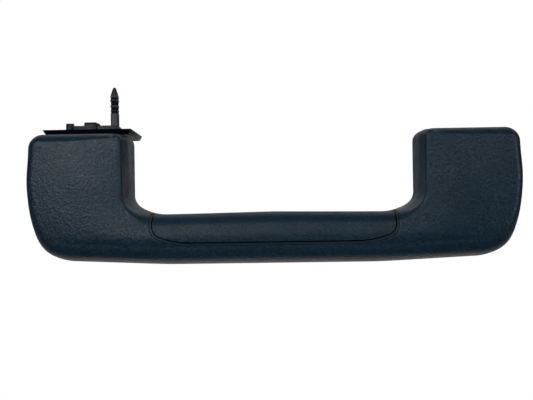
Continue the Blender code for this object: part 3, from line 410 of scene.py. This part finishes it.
def chain_posts(corners, side):
    """Posts from the middle of the handle to the top of the right pad, closer together on the bends."""
    pieces = chain_pieces(corners)
    total = sum(weight(piece) for piece in pieces)
    posts = []
    for station in range(STATIONS + 1):
        wanted = total * station / STATIONS
        for piece in pieces:
            share = weight(piece)
            if wanted <= share or piece is pieces[-1]:
                posts.append(post_at(piece, min(wanted / share, 1.0), side))
                break
            wanted -= share
    return posts


def eased(posts):
    """Lets the edge rounding change gradually along a chain."""
    result = []
    for point, normal, _ in posts:
        form = Vector()
        total = 0.0
        for near_point, _, near_form in posts:
            share = max(1 - (near_point - point).length / EASE_REACH, 0.0)
            form += near_form * share
            total += share
        result.append((point, normal, form / total))
    return result


def both_sides(posts):
    """The same posts mirrored to the left pad, from the left pad's top to the right pad's."""
    left = [(Vector((-p.x, p.y)), Vector((-n.x, n.y)), form) for p, n, form in reversed(posts[1:])]
    return left + posts


def drafted(share, width, deep):
    """The finger gap's side walls: a long slope from the back that ends in a small rounding at the face."""
    rest = max(1 - share * deep / (DRAFT_CORNER * width), 0.0)
    corner = 1 - math.sqrt(1 - rest * rest)
    return (1 - DRAFT_CORNER) * (1 - share) ** DRAFT_POWER + DRAFT_CORNER * corner


def skin(inset, face, other, facing=-1, rounding=(1.0, 1.0), steps=FILLET_STEPS, fade=lambda x: 1.0):
    """A closed solid inside the handle's outline, shrunk all round by the inset.

    The face is the y of the rounded side, as a function of x; facing is -1 if it looks to the cabin.
    The other side is flat or follows a function of z, and it is joined by a wall that flares a little,
    except at the tops.
    The rounding gives how much of the edge rounding's width and depth is used, and fade how that changes
    with x.
    """
    outer = both_sides(eased(chain_posts(OUTER_CORNERS, -1)))
    inner = both_sides(eased(chain_posts(INNER_CORNERS, 1)))
    last = len(outer) - 1

    def across(station):
        out_point, normal, form = outer[station]
        in_point = inner[station][0]
        return [(out_point.lerp(in_point, k / RUNGS), normal, form) for k in range(1, RUNGS)]

    ring = outer + across(last) + inner[::-1] + across(0)[::-1]
    bm = bmesh.new()

    def vertex(post, angle, y):
        point, normal, form = post
        width = max((form.x - inset) * rounding[0] * fade(point.x), MIN_FILLET)
        deep = max((form.y * rounding[1] - inset) * fade(point.x), MIN_FILLET)
        draft = min(max(form.y / form.x - DRAFT_FROM, 0.0), 1.0)
        width *= (1 - draft) * (1 - math.cos(angle)) + draft * drafted(1 - math.sin(angle), width, deep)
        backwards = ((y * -facing - FRONT) / HANDLE_DEPTH) ** (1 + draft)
        flare = form.z * backwards * (1 - max(normal.y, 0.0))
        place_xz = point - normal * (inset + width - flare)
        return bm.verts.new((place_xz.x, y, place_xz.y))

    levels = []
    for step in range(steps + 1):
        angle = math.pi / 2 * step / steps
        level = []
        for post in ring:
            full_depth = (post[2].y * rounding[1] - inset) * fade(post[0].x)
            depth = max(full_depth, MIN_FILLET) * (1 - math.sin(angle))
            level.append(vertex(post, angle, face(post[0].x) - facing * depth))
        levels.append(level)
    back = []
    for post in ring:
        shrunk = post[0] - post[1] * inset
        back.append(vertex(post, 0.0, other(shrunk.y)))
    for lower, upper in zip([back] + levels, levels):
        for k in range(len(ring)):
            ahead = (k + 1) % len(ring)
            bm.faces.new((lower[k], lower[ahead], upper[ahead], upper[k]))

    def fill(boundary, height):
        """A grid between the two chains, with inner points lifted by a height function."""
        rows = []
        for station in range(last + 1):
            out_vertex = boundary[station]
            in_vertex = boundary[2 * last + RUNGS - station]
            row = [out_vertex]
            for k in range(1, RUNGS):
                share = k / RUNGS
                if station == last:
                    row.append(boundary[last + k])
                elif station == 0:
                    row.append(boundary[len(ring) - k])
                else:
                    x, y, z = out_vertex.co.lerp(in_vertex.co, share)
                    row.append(bm.verts.new((x, height(x, y, z, share), z)))
            rows.append(row + [in_vertex])
        for row, ahead in zip(rows, rows[1:]):
            for k in range(RUNGS):
                bm.faces.new((row[k], row[k + 1], ahead[k + 1], ahead[k]))

    def crowned(x, y, z, share):
        pad_share = min(max((abs(x) - GRIP_END) / (PAD_INNER - GRIP_END), 0.0), 1.0)
        crown = GRIP_CROWN + (PAD_CROWN - GRIP_CROWN) * pad_share
        below_top = min((PAD_TOP - z) / PAD_WIDTH * 2, 1.0)
        return y + facing * crown * 4 * share * (1 - share) * below_top

    fill(levels[-1], crowned)
    fill(back, lambda x, y, z, share: other(z))
    return bm


def flat(y):
    return lambda position: y


def barrel(radius):
    return lambda z: math.sqrt(max(radius ** 2 - max(z, 0.0) ** 2, 0.0))


def front_face(inset):
    return flat(FRONT + inset)


def grip_back_face(inset):
    def face(x):
        share = min(max((abs(x) - BACK_FLARE_START) / (GRIP_END - BACK_FLARE_START), 0.0), 1.0)
        ease = share * share * (3 - 2 * share)
        return GRIP_BACK + (PAD_TOP - GRIP_BACK) * ease - inset
    return face


def towards_pads(x):
    """The share of the back's edge rounding: whole in the grip and none where the pads' rims begin."""
    share = min(max((GRIP_END - abs(x)) / (GRIP_END - BACK_FLARE_START), 0.0), 1.0)
    return share * share * (3 - 2 * share)


def cut_off(bm, point, outwards):
    geometry = bm.verts[:] + bm.edges[:] + bm.faces[:]
    bmesh.ops.bisect_plane(bm, geom=geometry, plane_co=point, plane_no=outwards, clear_outer=True)
    open_edges = [edge for edge in bm.edges if edge.is_boundary]
    bmesh.ops.holes_fill(bm, edges=open_edges, sides=0)
    return bm


def between(bm, end):
    cut_off(bm, (end, 0.0, 0.0), (1.0, 0.0, 0.0))
    return cut_off(bm, (-end, 0.0, 0.0), (-1.0, 0.0, 0.0))


# Small solids


def box(low, high):
    bm = bmesh.new()
    low = Vector(low)
    high = Vector(high)
    middle = Matrix.Translation((low + high) / 2)
    bmesh.ops.create_cube(bm, size=1.0, matrix=middle @ Matrix.Diagonal((*(high - low), 1.0)))
    return bm


def arc(centre, radius, start, end, steps):
    angles = [math.radians(start + (end - start) * step / steps) for step in range(steps + 1)]
    return [(centre[0] + radius * math.cos(a), centre[1] + radius * math.sin(a)) for a in angles]


def insert_outline(grow):
    """The seam of the insert as seen from the front, grown all round, from the grip's top and back to it."""
    no_form = (0.0, 0.0, 0.0)
    top = GRIP_TOP + BEYOND
    corners = (
        (0.0, INSERT_BOTTOM, 0.0) + no_form,
        (INSERT_END - INSERT_SWEEP_RUN, INSERT_BOTTOM, INSERT_SWEEP) + no_form,
        (INSERT_END, INSERT_BOTTOM + INSERT_BEND_RISE, INSERT_BEND) + no_form,
        (INSERT_END, top, 0.0) + no_form,
    )
    right = []
    for piece in chain_pieces(corners):
        steps = 1 if piece[0] == "run" else SEAM_STEPS
        for step in range(1, steps + 1):
            point, normal, _ = post_at(piece, step / steps, -1)
            right.append(tuple(point + normal * grow))
    right.append((INSERT_END + grow, top))
    left = [(-x, z) for x, z in reversed(right)]
    return right[::-1] + left[::-1]


def prism(outline, near_y, far_y):
    """A solid with this outline in the front view, from one depth to another."""
    bm = bmesh.new()
    near = [bm.verts.new((x, near_y, z)) for x, z in outline]
    far = [bm.verts.new((x, far_y, z)) for x, z in outline]
    bm.faces.new(near)
    bm.faces.new(far)
    for k in range(len(outline)):
        ahead = (k + 1) % len(outline)
        bm.faces.new((near[k], near[ahead], far[ahead], far[k]))
    return bm


def insert_prism(grow):
    return prism(insert_outline(grow), FRONT - BEYOND, INSERT_BACK + BEYOND)


def loft(outlines):
    """A solid through a row of like outlines, with flat ends."""
    bm = bmesh.new()
    rings = [[bm.verts.new(point) for point in outline] for outline in outlines]
    for low, high in zip(rings, rings[1:]):
        for k in range(len(low)):
            ahead = (k + 1) % len(low)
            bm.faces.new((low[k], low[ahead], high[ahead], high[k]))
    bm.faces.new(rings[0])
    bm.faces.new(rings[-1])
    return bm


# Making pieces


def as_object(name, bm):
    bmesh.ops.recalc_face_normals(bm, faces=bm.faces)
    mesh = bpy.data.meshes.new(name)
    bm.to_mesh(mesh)
    bm.free()
    made = bpy.data.objects.new(name, mesh)
    bpy.context.scene.collection.objects.link(made)
    return made


def carve(piece, steps):
    """Cuts, joins or keeps the common part of a piece with each tool in turn, then drops the tools."""
    for operation, bm in steps:
        tool = as_object("tool", bm)
        modifier = piece.modifiers.new("step", "BOOLEAN")
        modifier.object = tool
        modifier.operation = operation
        modifier.solver = "EXACT"
        settled = bpy.data.meshes.new_from_object(piece.evaluated_get(bpy.context.evaluated_depsgraph_get()))
        piece.modifiers.clear()
        piece.data = settled
        bpy.data.objects.remove(tool)
    return piece


def into_place(turn):
    """From the pivot frame to the part's own, with the left bracket's pieces turned out as in the photo."""
    move = Matrix.Translation(PIVOT)
    return move @ Matrix.Rotation(math.radians(90), 4, "X") if turn else move


def dress(piece, body, material, replaced, turn=False, at=(0.0, 0.0, 0.0)):
    """Moves a finished piece from the pivot frame into place, and gives it its body and material."""
    mesh = piece.data
    mesh.transform(into_place(turn) @ Matrix.Translation(Vector(at)))
    bm = bmesh.new()
    bm.from_mesh(mesh)
    bmesh.ops.remove_doubles(bm, verts=bm.verts, dist=0.000004)
    bmesh.ops.dissolve_degenerate(bm, edges=bm.edges, dist=0.000004)
    bmesh.ops.triangulate(bm, faces=[face for face in bm.faces if len(face.verts) > 4])
    bm.to_mesh(mesh)
    bm.free()
    mesh.materials.clear()
    mesh.materials.append(material)
    mesh.shade_smooth()
    mesh.set_sharp_from_angle(angle=SMOOTH_BELOW)
    even = piece.modifiers.new("even_normals", "WEIGHTED_NORMAL")
    even.keep_sharp = True
    even.mode = "FACE_AREA_WITH_ANGLE"
    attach(piece, body)
    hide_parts(*replaced)


def recolour(piece, material, turn, chosen):
    """Gives a dressed piece's faces a second material where their middle, in the pivot frame, is chosen."""
    back = into_place(turn).inverted()
    piece.data.materials.append(material)
    for polygon in piece.data.polygons:
        if chosen(back @ polygon.center):
            polygon.material_index = 1


def in_a_groove(middle):
    share = (middle.y - SEAT) / LOCK_HEIGHT
    return any(low < share < high for low, high in LOCK_GROOVES)


def deep_in_seam(middle):
    return outside_tree.find_nearest(middle)[3] > SEAM_SHADE_DEPTH


def on_the_seat(middle):
    return middle.y > SEAT + SEAT_SPARE


# The seam

MAIN_LIP = 0.00016
STRIP_LIP = 0.00010
MAIN_CUT = SEAM_GAP + 0.00070
RIM_INNER = SEAM_GAP + 0.00015
STRIP_GAP = 0.00014
WINDOW_GROW = SEAM_GAP + CARRIER_STRIP + FIT_GAP
# A groove's right half: shares of the lip's size outwards from the gap's side and up from the skin
GROOVE_LIP = ((1.9, 0.35), (1.5, 0.03), (0.9, -0.14), (0.4, -0.42), (0.1, -0.85), (0.0, -1.5))
# The seam is followed over the grip's top from a point this far below it. Then it goes on in steps of this
# length, from the first corner that is this much lower.
SEAM_HEART_DROP = 0.0054
SEAM_STEP = 0.0012
SEAM_JOIN = 0.0003
# Faces deeper under the skin than this are painted dark, as painted shade in the seam
SEAM_SHADE_DEPTH = 0.0006

# The whole outer skin, to find places on it
outside_tree = BVHTree.FromBMesh(skin(0.0, front_face(0.0), flat(INSERT_BACK)))


def seam_path(grow):
    """Points on the skin and its normals along the seam, over the grip's top and round both ends."""
    path = []
    end = INSERT_END + grow
    heart_z = GRIP_TOP - SEAM_HEART_DROP
    heart_y = INSERT_BACK
    for degrees in range(0, 87, 3):
        angle = math.radians(degrees)
        ray = Vector((0.0, -math.sin(angle), math.cos(angle)))
        hit = outside_tree.ray_cast(Vector((end, heart_y, heart_z)), ray)
        path.append(hit[:2])
    right_half = [point for point in insert_outline(grow) if point[0] >= 0.0]
    bends = sorted(right_half, key=lambda point: -point[0])
    bends = [point for point in bends if point[1] < path[-1][0].z - SEAM_JOIN] + [(0.0, INSERT_BOTTOM - grow)]
    here = (end, path[-1][0].z)
    for ahead in bends:
        count = max(1, round(math.dist(here, ahead) / SEAM_STEP))
        for k in range(1, count + 1):
            x = here[0] + (ahead[0] - here[0]) * k / count
            z = here[1] + (ahead[1] - here[1]) * k / count
            path.append(outside_tree.ray_cast(Vector((x, heart_y, z)), Vector((0.0, -1.0, 0.0)))[:2])
        here = ahead
    mirrored = [(Vector((-p.x, p.y, p.z)), Vector((-n.x, n.y, n.z))) for p, n in reversed(path[:-1])]
    return path + mirrored


def groove(grow, gap, size):
    """A channel with rolled lips that follows the seam: cut from both neighbours it rounds their edges."""
    right = [(gap / 2 + size * across, size * up) for across, up in GROOVE_LIP]
    profile = right + [(-across, up) for across, up in reversed(right)]
    path = seam_path(grow)
    outlines = []
    for k, (point, normal) in enumerate(path):
        behind = path[max(k - 1, 0)][0]
        ahead = path[min(k + 1, len(path) - 1)][0]
        along = (ahead - behind).normalized()
        side = normal.cross(along).normalized()
        up = along.cross(side).normalized()
        outlines.append([point + side * a + up * b for a, b in profile])
    return loft(outlines)


def main_groove():
    return groove(SEAM_GAP / 2, MAIN_CUT, MAIN_LIP)


def strip_groove():
    return groove(WINDOW_GROW - STRIP_GAP / 2, STRIP_GAP, STRIP_LIP)


# The pieces


def make_front_cover():
    cover = as_object("front_cover", skin(0.0, front_face(0.0), barrel(PAD_TOP)))
    hollow = skin(SHELL_WALL, front_face(SHELL_WALL), barrel(PAD_TOP - BARREL_WALL), steps=4)
    mouth = skin(SHELL_WALL + RIM_LIP, flat(PAD_TOP / 2), flat(PAD_TOP + BEYOND), rounding=SQUARE, steps=1)
    cut_off(mouth, (0.0, 0.0, -SWING_GAP), (0.0, 0.0, 1.0))
    grip_back = box(
        (-GRIP_END, GRIP_SPLIT - FIT_GAP / 2, BOTTOM - BEYOND),
        (GRIP_END, PAD_TOP + BEYOND, PAD_TOP - FIT_GAP),
    )
    steps = [("DIFFERENCE", tool) for tool in (hollow, mouth, grip_back, insert_prism(WINDOW_GROW))]
    for side in (-1, 1):
        for place_x in (-1, 1):
            middle = side * BRACKET_CENTRE + place_x * (KNUCKLE_INNER + KNUCKLE_THICKNESS / 2)
            half_slot = KNUCKLE_THICKNESS / 2 + SWING_GAP
            reach = KNUCKLE_RADIUS + 2 * SWING_GAP
            slot = box((middle - half_slot, -reach, -reach), (middle + half_slot, SEAT, PAD_TOP + BEYOND))
            steps.append(("DIFFERENCE", slot))
    steps.append(("DIFFERENCE", strip_groove()))
    carve(cover, steps)
    dress(cover, HANDLE_BODY, shell_look, ["front_shell"])


def make_grip_panel():
    panel = as_object("grip_panel", skin(0.0, front_face(0.0), flat(INSERT_BACK)))
    core = skin(INSERT_THICKNESS, front_face(INSERT_THICKNESS), flat(INSERT_BACK + BEYOND), steps=4)
    carve(panel, [("INTERSECT", insert_prism(0.0)), ("DIFFERENCE", core), ("DIFFERENCE", main_groove())])
    dress(panel, HANDLE_BODY, insert_look, ["grip_insert"])
    # The panel's faces deep in the seam are painted dark: painted shade
    recolour(panel, groove_shade_look, False, deep_in_seam)


def make_panel_tray():
    """The tray with its rim, rounded by the two grooves that run beside it."""
    outside = INSERT_THICKNESS + FIT_GAP
    inside = outside + CARRIER_THICKNESS
    edge = WINDOW_GROW - STRIP_GAP
    hollow = skin(inside, front_face(inside), flat(INSERT_BACK + BEYOND), steps=4)
    tray = as_object("panel_tray", skin(outside, front_face(outside), flat(INSERT_BACK), steps=4))
    carve(tray, [("INTERSECT", insert_prism(edge)), ("DIFFERENCE", hollow)])
    rim = as_object("rim", skin(CARRIER_SINK, front_face(CARRIER_SINK), flat(INSERT_BACK)))
    hollow = skin(inside, front_face(inside), flat(INSERT_BACK + BEYOND), steps=4)
    cuts = [("DIFFERENCE", insert_prism(RIM_INNER)), ("DIFFERENCE", hollow)]
    carve(rim, [("INTERSECT", insert_prism(edge))] + cuts)
    joined = bmesh.new()
    joined.from_mesh(rim.data)
    bpy.data.objects.remove(rim)
    carve(tray, [("UNION", joined)])
    dress(tray, HANDLE_BODY, inner_look, ["insert_carrier"])
    # The tray's faces deep in the seam are painted dark: painted shade
    recolour(tray, groove_shade_look, False, deep_in_seam)


def make_rear_cover():
    start = GRIP_SPLIT + FIT_GAP / 2
    end = GRIP_END - FIT_GAP
    outside = skin(0.0, grip_back_face(0.0), flat(start), 1, BACK_ROUNDING, fade=towards_pads)
    cover = as_object("rear_cover", between(outside, end))
    inside = skin(
        SHELL_WALL, grip_back_face(SHELL_WALL), flat(start - BEYOND), 1, BACK_ROUNDING, 4, fade=towards_pads,
    )
    carve(cover, [("DIFFERENCE", between(inside, end - SHELL_WALL))])
    dress(cover, HANDLE_BODY, shell_look, ["rear_shell"])


def make_barbed_pin(word, side, body, turn):
    """The flat barbed pin with rounded corners and softened ribs."""
    centre = (-side * LOCK_PLACE, -FEATURE_DROP)
    outlines = []
    for share, growth in ((None, 0.0),) + LOCK_LEVELS:
        y = PLATE_FRONT if share is None else SEAT + LOCK_HEIGHT * share
        in_ribs = share is not None and share < RIBS_END
        wide = LOCK_WIDTH / 2 + growth * (NECK_SHALLOWER if in_ribs and growth < 0 else 1.0)
        deep = LOCK_DEPTH / 2 + growth * (NECK_DEEPER if in_ribs else LOCK_DEPTH / LOCK_WIDTH)
        corner = min(LOCK_CORNER, wide * 0.7)
        quarter = arc((wide - corner, deep - corner), corner, 0, 90, 4)
        half = quarter + [(-x, z) for x, z in reversed(quarter)]
        outline = half + [(-x, -z) for x, z in half]
        outlines.append([(centre[0] + x, y, centre[1] + z) for x, z in outline])
    pin = as_object(f"{word}_barbed_pin", loft(outlines))
    at = (side * BRACKET_CENTRE, 0.0, 0.0)
    dress(pin, body, pin_look, [f"{word}_locking_pin"], turn, at)
    # The pin's grooves between the barbs are painted dark: painted shade
    recolour(pin, groove_shade_look, turn, in_a_groove)


def hidden_corner():
    """What the right plate loses at its upper inner corner."""
    corner_x = BRACKET_CENTRE - PLATE_HALF
    radius = PLATE_HIDDEN_CORNER
    bend = arc((corner_x + radius, PLATE_ABOVE - radius), radius, 90, 180, 12)
    out_x = corner_x - CUTTER_SPARE
    out_z = PLATE_ABOVE + CUTTER_SPARE
    outline = [(out_x, out_z), (out_x, bend[-1][1])] + bend[::-1] + [(bend[0][0], out_z)]
    return prism(outline, PLATE_FRONT - CUTTER_SPARE / 10, SEAT + CUTTER_SPARE)


def make_bracket(word, body, turn):
    """The CAD bracket again: the left plate's edges are drawn out, the right plate's corner is rounded."""
    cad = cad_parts[f"{word}_bracket"]
    mesh = bpy.data.meshes.new_from_object(cad.evaluated_get(bpy.context.evaluated_depsgraph_get()))
    mesh.transform(cad.matrix_world)
    mesh.transform(Matrix.Translation(-PIVOT))
    if turn:
        mesh.transform(Matrix.Rotation(math.radians(-90), 4, "X"))
    piece = bpy.data.objects.new(f"{word}_plate_and_knuckles", mesh)
    bpy.context.scene.collection.objects.link(piece)
    if turn:
        for vertex in mesh.vertices:
            across = vertex.co.x + BRACKET_CENTRE
            if abs(across) > PLATE_EDGE_FROM:
                level = min(max((PLATE_ABOVE - vertex.co.z) / (PLATE_ABOVE + PLATE_BELOW), 0.0), 1.0)
                first, last = PLATE_INNER_MOVE if across > 0 else PLATE_OUTER_MOVE
                vertex.co.x += first + (last - first) * level
    else:
        carve(piece, [("DIFFERENCE", hidden_corner())])
    dress(piece, body, bracket_shaded_look, [f"{word}_bracket"], turn)
    # The raised features get the lighter material as painted light; the plate keeps the darker one as painted
    # shade
    recolour(piece, platform_lit_look, turn, on_the_seat)
    round_off(piece, BRACKET_EDGE_ROUNDING)


def round_off(piece, width):
    """Rounds sharp edges, if a width is given, and shades round faces smooth."""
    if width:
        edge = piece.modifiers.new("edge", "BEVEL")
        edge.width = width
        edge.segments = 2
        edge.limit_method = "ANGLE"
        edge.angle_limit = math.radians(30)
        edge.harden_normals = False
    smooth = piece.modifiers.new("smooth", "NODES")
    smooth.node_group = smooth_group


def soften(node, material, width):
    """A CAD solid as it is, with its seams welded and its edges rounded off."""
    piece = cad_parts[node]
    for slot in piece.material_slots:
        slot.material = material
    join = piece.modifiers.new("join", "WELD")
    join.merge_threshold = 0.000002
    round_off(piece, width)


def smooth_by_angle():
    """A geometry node group that shades smooth where faces meet at a flat angle."""
    group = bpy.data.node_groups.new("smooth_rounds", "GeometryNodeTree")
    group.interface.new_socket("Geometry", in_out="INPUT", socket_type="NodeSocketGeometry")
    group.interface.new_socket("Geometry", in_out="OUTPUT", socket_type="NodeSocketGeometry")
    source = group.nodes.new("NodeGroupInput")
    result = group.nodes.new("NodeGroupOutput")
    bend = group.nodes.new("GeometryNodeInputMeshEdgeAngle")
    gentle = group.nodes.new("FunctionNodeCompare")
    gentle.data_type = "FLOAT"
    gentle.operation = "LESS_THAN"
    gentle.inputs[1].default_value = SMOOTH_BELOW
    edges = group.nodes.new("GeometryNodeSetShadeSmooth")
    edges.domain = "EDGE"
    sharp = group.nodes.new("GeometryNodeSetShadeSmooth")
    sharp.domain = "EDGE"
    sharp.inputs["Shade Smooth"].default_value = False
    faces = group.nodes.new("GeometryNodeSetShadeSmooth")
    faces.domain = "FACE"
    turned_over = group.nodes.new("FunctionNodeBooleanMath")
    turned_over.operation = "NOT"
    links = group.links
    links.new(bend.outputs["Unsigned Angle"], gentle.inputs[0])
    links.new(gentle.outputs["Result"], turned_over.inputs[0])
    links.new(source.outputs[0], faces.inputs["Geometry"])
    links.new(faces.outputs["Geometry"], edges.inputs["Geometry"])
    links.new(gentle.outputs["Result"], edges.inputs["Selection"])
    links.new(edges.outputs["Geometry"], sharp.inputs["Geometry"])
    links.new(turned_over.outputs["Boolean"], sharp.inputs["Selection"])
    links.new(sharp.outputs["Geometry"], result.inputs[0])
    return group


smooth_group = smooth_by_angle()
make_front_cover()
make_grip_panel()
make_panel_tray()
make_rear_cover()
make_barbed_pin("right", 1, "right_bracket_body", False)
make_barbed_pin("left", -1, "left_bracket_body", True)
make_bracket("right", "right_bracket_body", False)
make_bracket("left", "left_bracket_body", True)

for name in ("left", "right"):
    soften(f"{name}_spring_clip", clip_look, 0.00012)
    soften(f"{name}_hinge_pin", steel_look, 0.0)
    soften(f"{name}_pin_clip", steel_look, 0.00008)
    soften(f"{name}_stop_buffer", rubber_look, 0.0)
    soften(f"{name}_bracket_left_bush", pin_look, 0.0)
    soften(f"{name}_bracket_right_bush", pin_look, 0.0)
soften("core_frame", inner_look, 0.00015)
soften("damper_body", inner_look, 0.0002)
soften("damper_rotor", steel_look, 0.0)
soften("torsion_spring", steel_look, 0.0)
for number in range(1, 5):
    soften(f"shell_screw_{number}", steel_look, 0.00008)


# Floor, light and camera


FLOOR_PLACE = (PIVOT.x, 0.43, -0.42)
FLOOR_RADIUS = 0.45
# How much the floor glows by itself for each kind of ray, so that it stays nearly white in the picture
FLOOR_GLOW = (("Is Camera Ray", 0.72), ("Is Glossy Ray", 0.16), ("Is Transmission Ray", 0.16))
LAMP_TARGET = Vector((PIVOT.x, 0.0, 0.0))
# The camera as fitted to the photo
CAMERA_PLACE = (-0.0907, -0.3530, 0.0007)
CAMERA_FORWARD = (-0.01815, 1.0, 0.0)
CAMERA_ROLL = 0.0153
CAMERA_LENS = 45.97


def make_floor():
    """A pale disc that lies below and behind the handle and stays out of the front view."""
    bm = bmesh.new()
    middle = Matrix.Translation(FLOOR_PLACE)
    bmesh.ops.create_circle(bm, cap_ends=True, segments=96, radius=FLOOR_RADIUS, matrix=middle)
    floor = as_object("floor", bm)
    material, nodes, links, shader = new_nodes("floor_white")
    shader.inputs["Base Color"].default_value = (0.86, 0.86, 0.86, 1.0)
    shader.inputs["Roughness"].default_value = 0.9
    path = nodes.new("ShaderNodeLightPath")
    glow = 0.0
    for ray, share in FLOOR_GLOW:
        glow = multiply_add(nodes, links, path.outputs[ray], share, glow)
    shader.inputs["Emission Color"].default_value = (1.0, 1.0, 1.0, 1.0)
    links.new(glow, shader.inputs["Emission Strength"])
    floor.data.materials.append(material)


def make_world(dim, under, over, left, right):
    """A room that is white to the camera and dim in front of the handle.

    It lights the handle a little from below and from above behind it, by under and over. Straight behind
    the handle it shows as a wall in reflections, from left to right as bright as those two shares of white.
    """
    world = bpy.data.worlds.new("studio")
    bpy.context.scene.world = world
    world.use_nodes = True
    nodes = world.node_tree.nodes
    links = world.node_tree.links
    soft = nodes["Background"]
    soft.inputs["Color"].default_value = (0.97, 0.985, 1.0, 1.0)
    direction = nodes.new("ShaderNodeTexCoord")
    split = nodes.new("ShaderNodeSeparateXYZ")
    links.new(direction.outputs["Generated"], split.inputs["Vector"])

    def rise(axis, start, end, low, high):
        node = nodes.new("ShaderNodeMapRange")
        node.interpolation_type = "SMOOTHSTEP"
        for name, value in (("From Min", start), ("From Max", end), ("To Min", low), ("To Max", high)):
            node.inputs[name].default_value = value
        links.new(split.outputs[axis], node.inputs["Value"])
        return node.outputs["Result"]

    def product(first, second, added):
        return multiply_add(nodes, links, first, second, added)

    wall = product(rise("Y", 0.94, 1.0, 0.0, 1.0), rise("X", -0.40, 0.50, left, right), 0.0)
    low = product(rise("Y", 0.0, 0.40, 0.0, 1.0), rise("Z", -0.03, -0.45, 0.0, under), dim)
    high = product(rise("Y", 0.15, 0.60, 0.0, 1.0), rise("Z", 0.10, 0.70, 0.0, over), low)
    links.new(high, soft.inputs["Strength"])
    white = nodes.new("ShaderNodeBackground")
    white.inputs["Strength"].default_value = 1.0
    white.inputs["Color"].default_value = (1.0, 1.0, 1.0, 1.0)
    path = nodes.new("ShaderNodeLightPath")
    pick = nodes.new("ShaderNodeMixShader")
    shown = product(path.outputs["Is Glossy Ray"], wall, path.outputs["Is Camera Ray"])
    shown = product(path.outputs["Is Transmission Ray"], wall, shown)
    links.new(shown, pick.inputs["Fac"])
    links.new(soft.outputs["Background"], pick.inputs[1])
    links.new(white.outputs["Background"], pick.inputs[2])
    links.new(pick.outputs["Shader"], nodes["World Output"].inputs["Surface"])


def make_lamp(name, place, size, power, spread=180, glossy=True):
    """A soft lamp, placed from the pivot, that looks at the handle and stays out of the picture."""
    position = PIVOT + Vector(place)
    data = bpy.data.lights.new(name, "AREA")
    data.shape = "RECTANGLE"
    data.size, data.size_y = size
    data.energy = power
    data.spread = math.radians(spread)
    lamp = bpy.data.objects.new(name, data)
    lamp.location = position
    lamp.rotation_euler = (LAMP_TARGET - position).to_track_quat("-Z", "Y").to_euler()
    lamp.visible_glossy = glossy
    lamp.visible_camera = False
    bpy.context.scene.collection.objects.link(lamp)


def make_camera():
    data = bpy.data.cameras.new("camera")
    data.sensor_width = 36.0
    data.lens = CAMERA_LENS
    data.clip_start = 0.01
    camera = bpy.data.objects.new("camera", data)
    forward = Vector(CAMERA_FORWARD).normalized()
    upwards = Vector((0.0, 0.0, 1.0))
    right = forward.cross(upwards) * math.cos(CAMERA_ROLL) - upwards * math.sin(CAMERA_ROLL)
    up = right.cross(forward)
    turn = Matrix((right, up, -forward)).transposed().to_4x4()
    camera.matrix_world = Matrix.Translation(CAMERA_PLACE) @ turn
    bpy.context.scene.collection.objects.link(camera)
    bpy.context.scene.camera = camera


make_floor()
make_world(dim=0.035, under=0.35, over=0.45, left=0.30, right=1.0)
make_lamp("key", (-0.10, -0.62, 0.16), (0.30, 0.30), 0.42, spread=50, glossy=False)
make_lamp("window", (-0.32, -0.59, 0.15), (0.37, 0.32), 0.76)
make_lamp("top", (0.25, -0.55, 0.22), (0.36, 0.22), 0.28)
make_lamp("side", (0.56, -0.30, 0.06), (0.16, 0.40), 0.40)
make_lamp("back", (0.05, 0.60, 0.35), (0.80, 0.40), 4.0, glossy=False)
make_lamp("left", (-0.55, 0.25, 0.12), (0.30, 0.40), 0.8, glossy=False)
make_camera()
bpy.context.scene.view_settings.view_transform = "Standard"
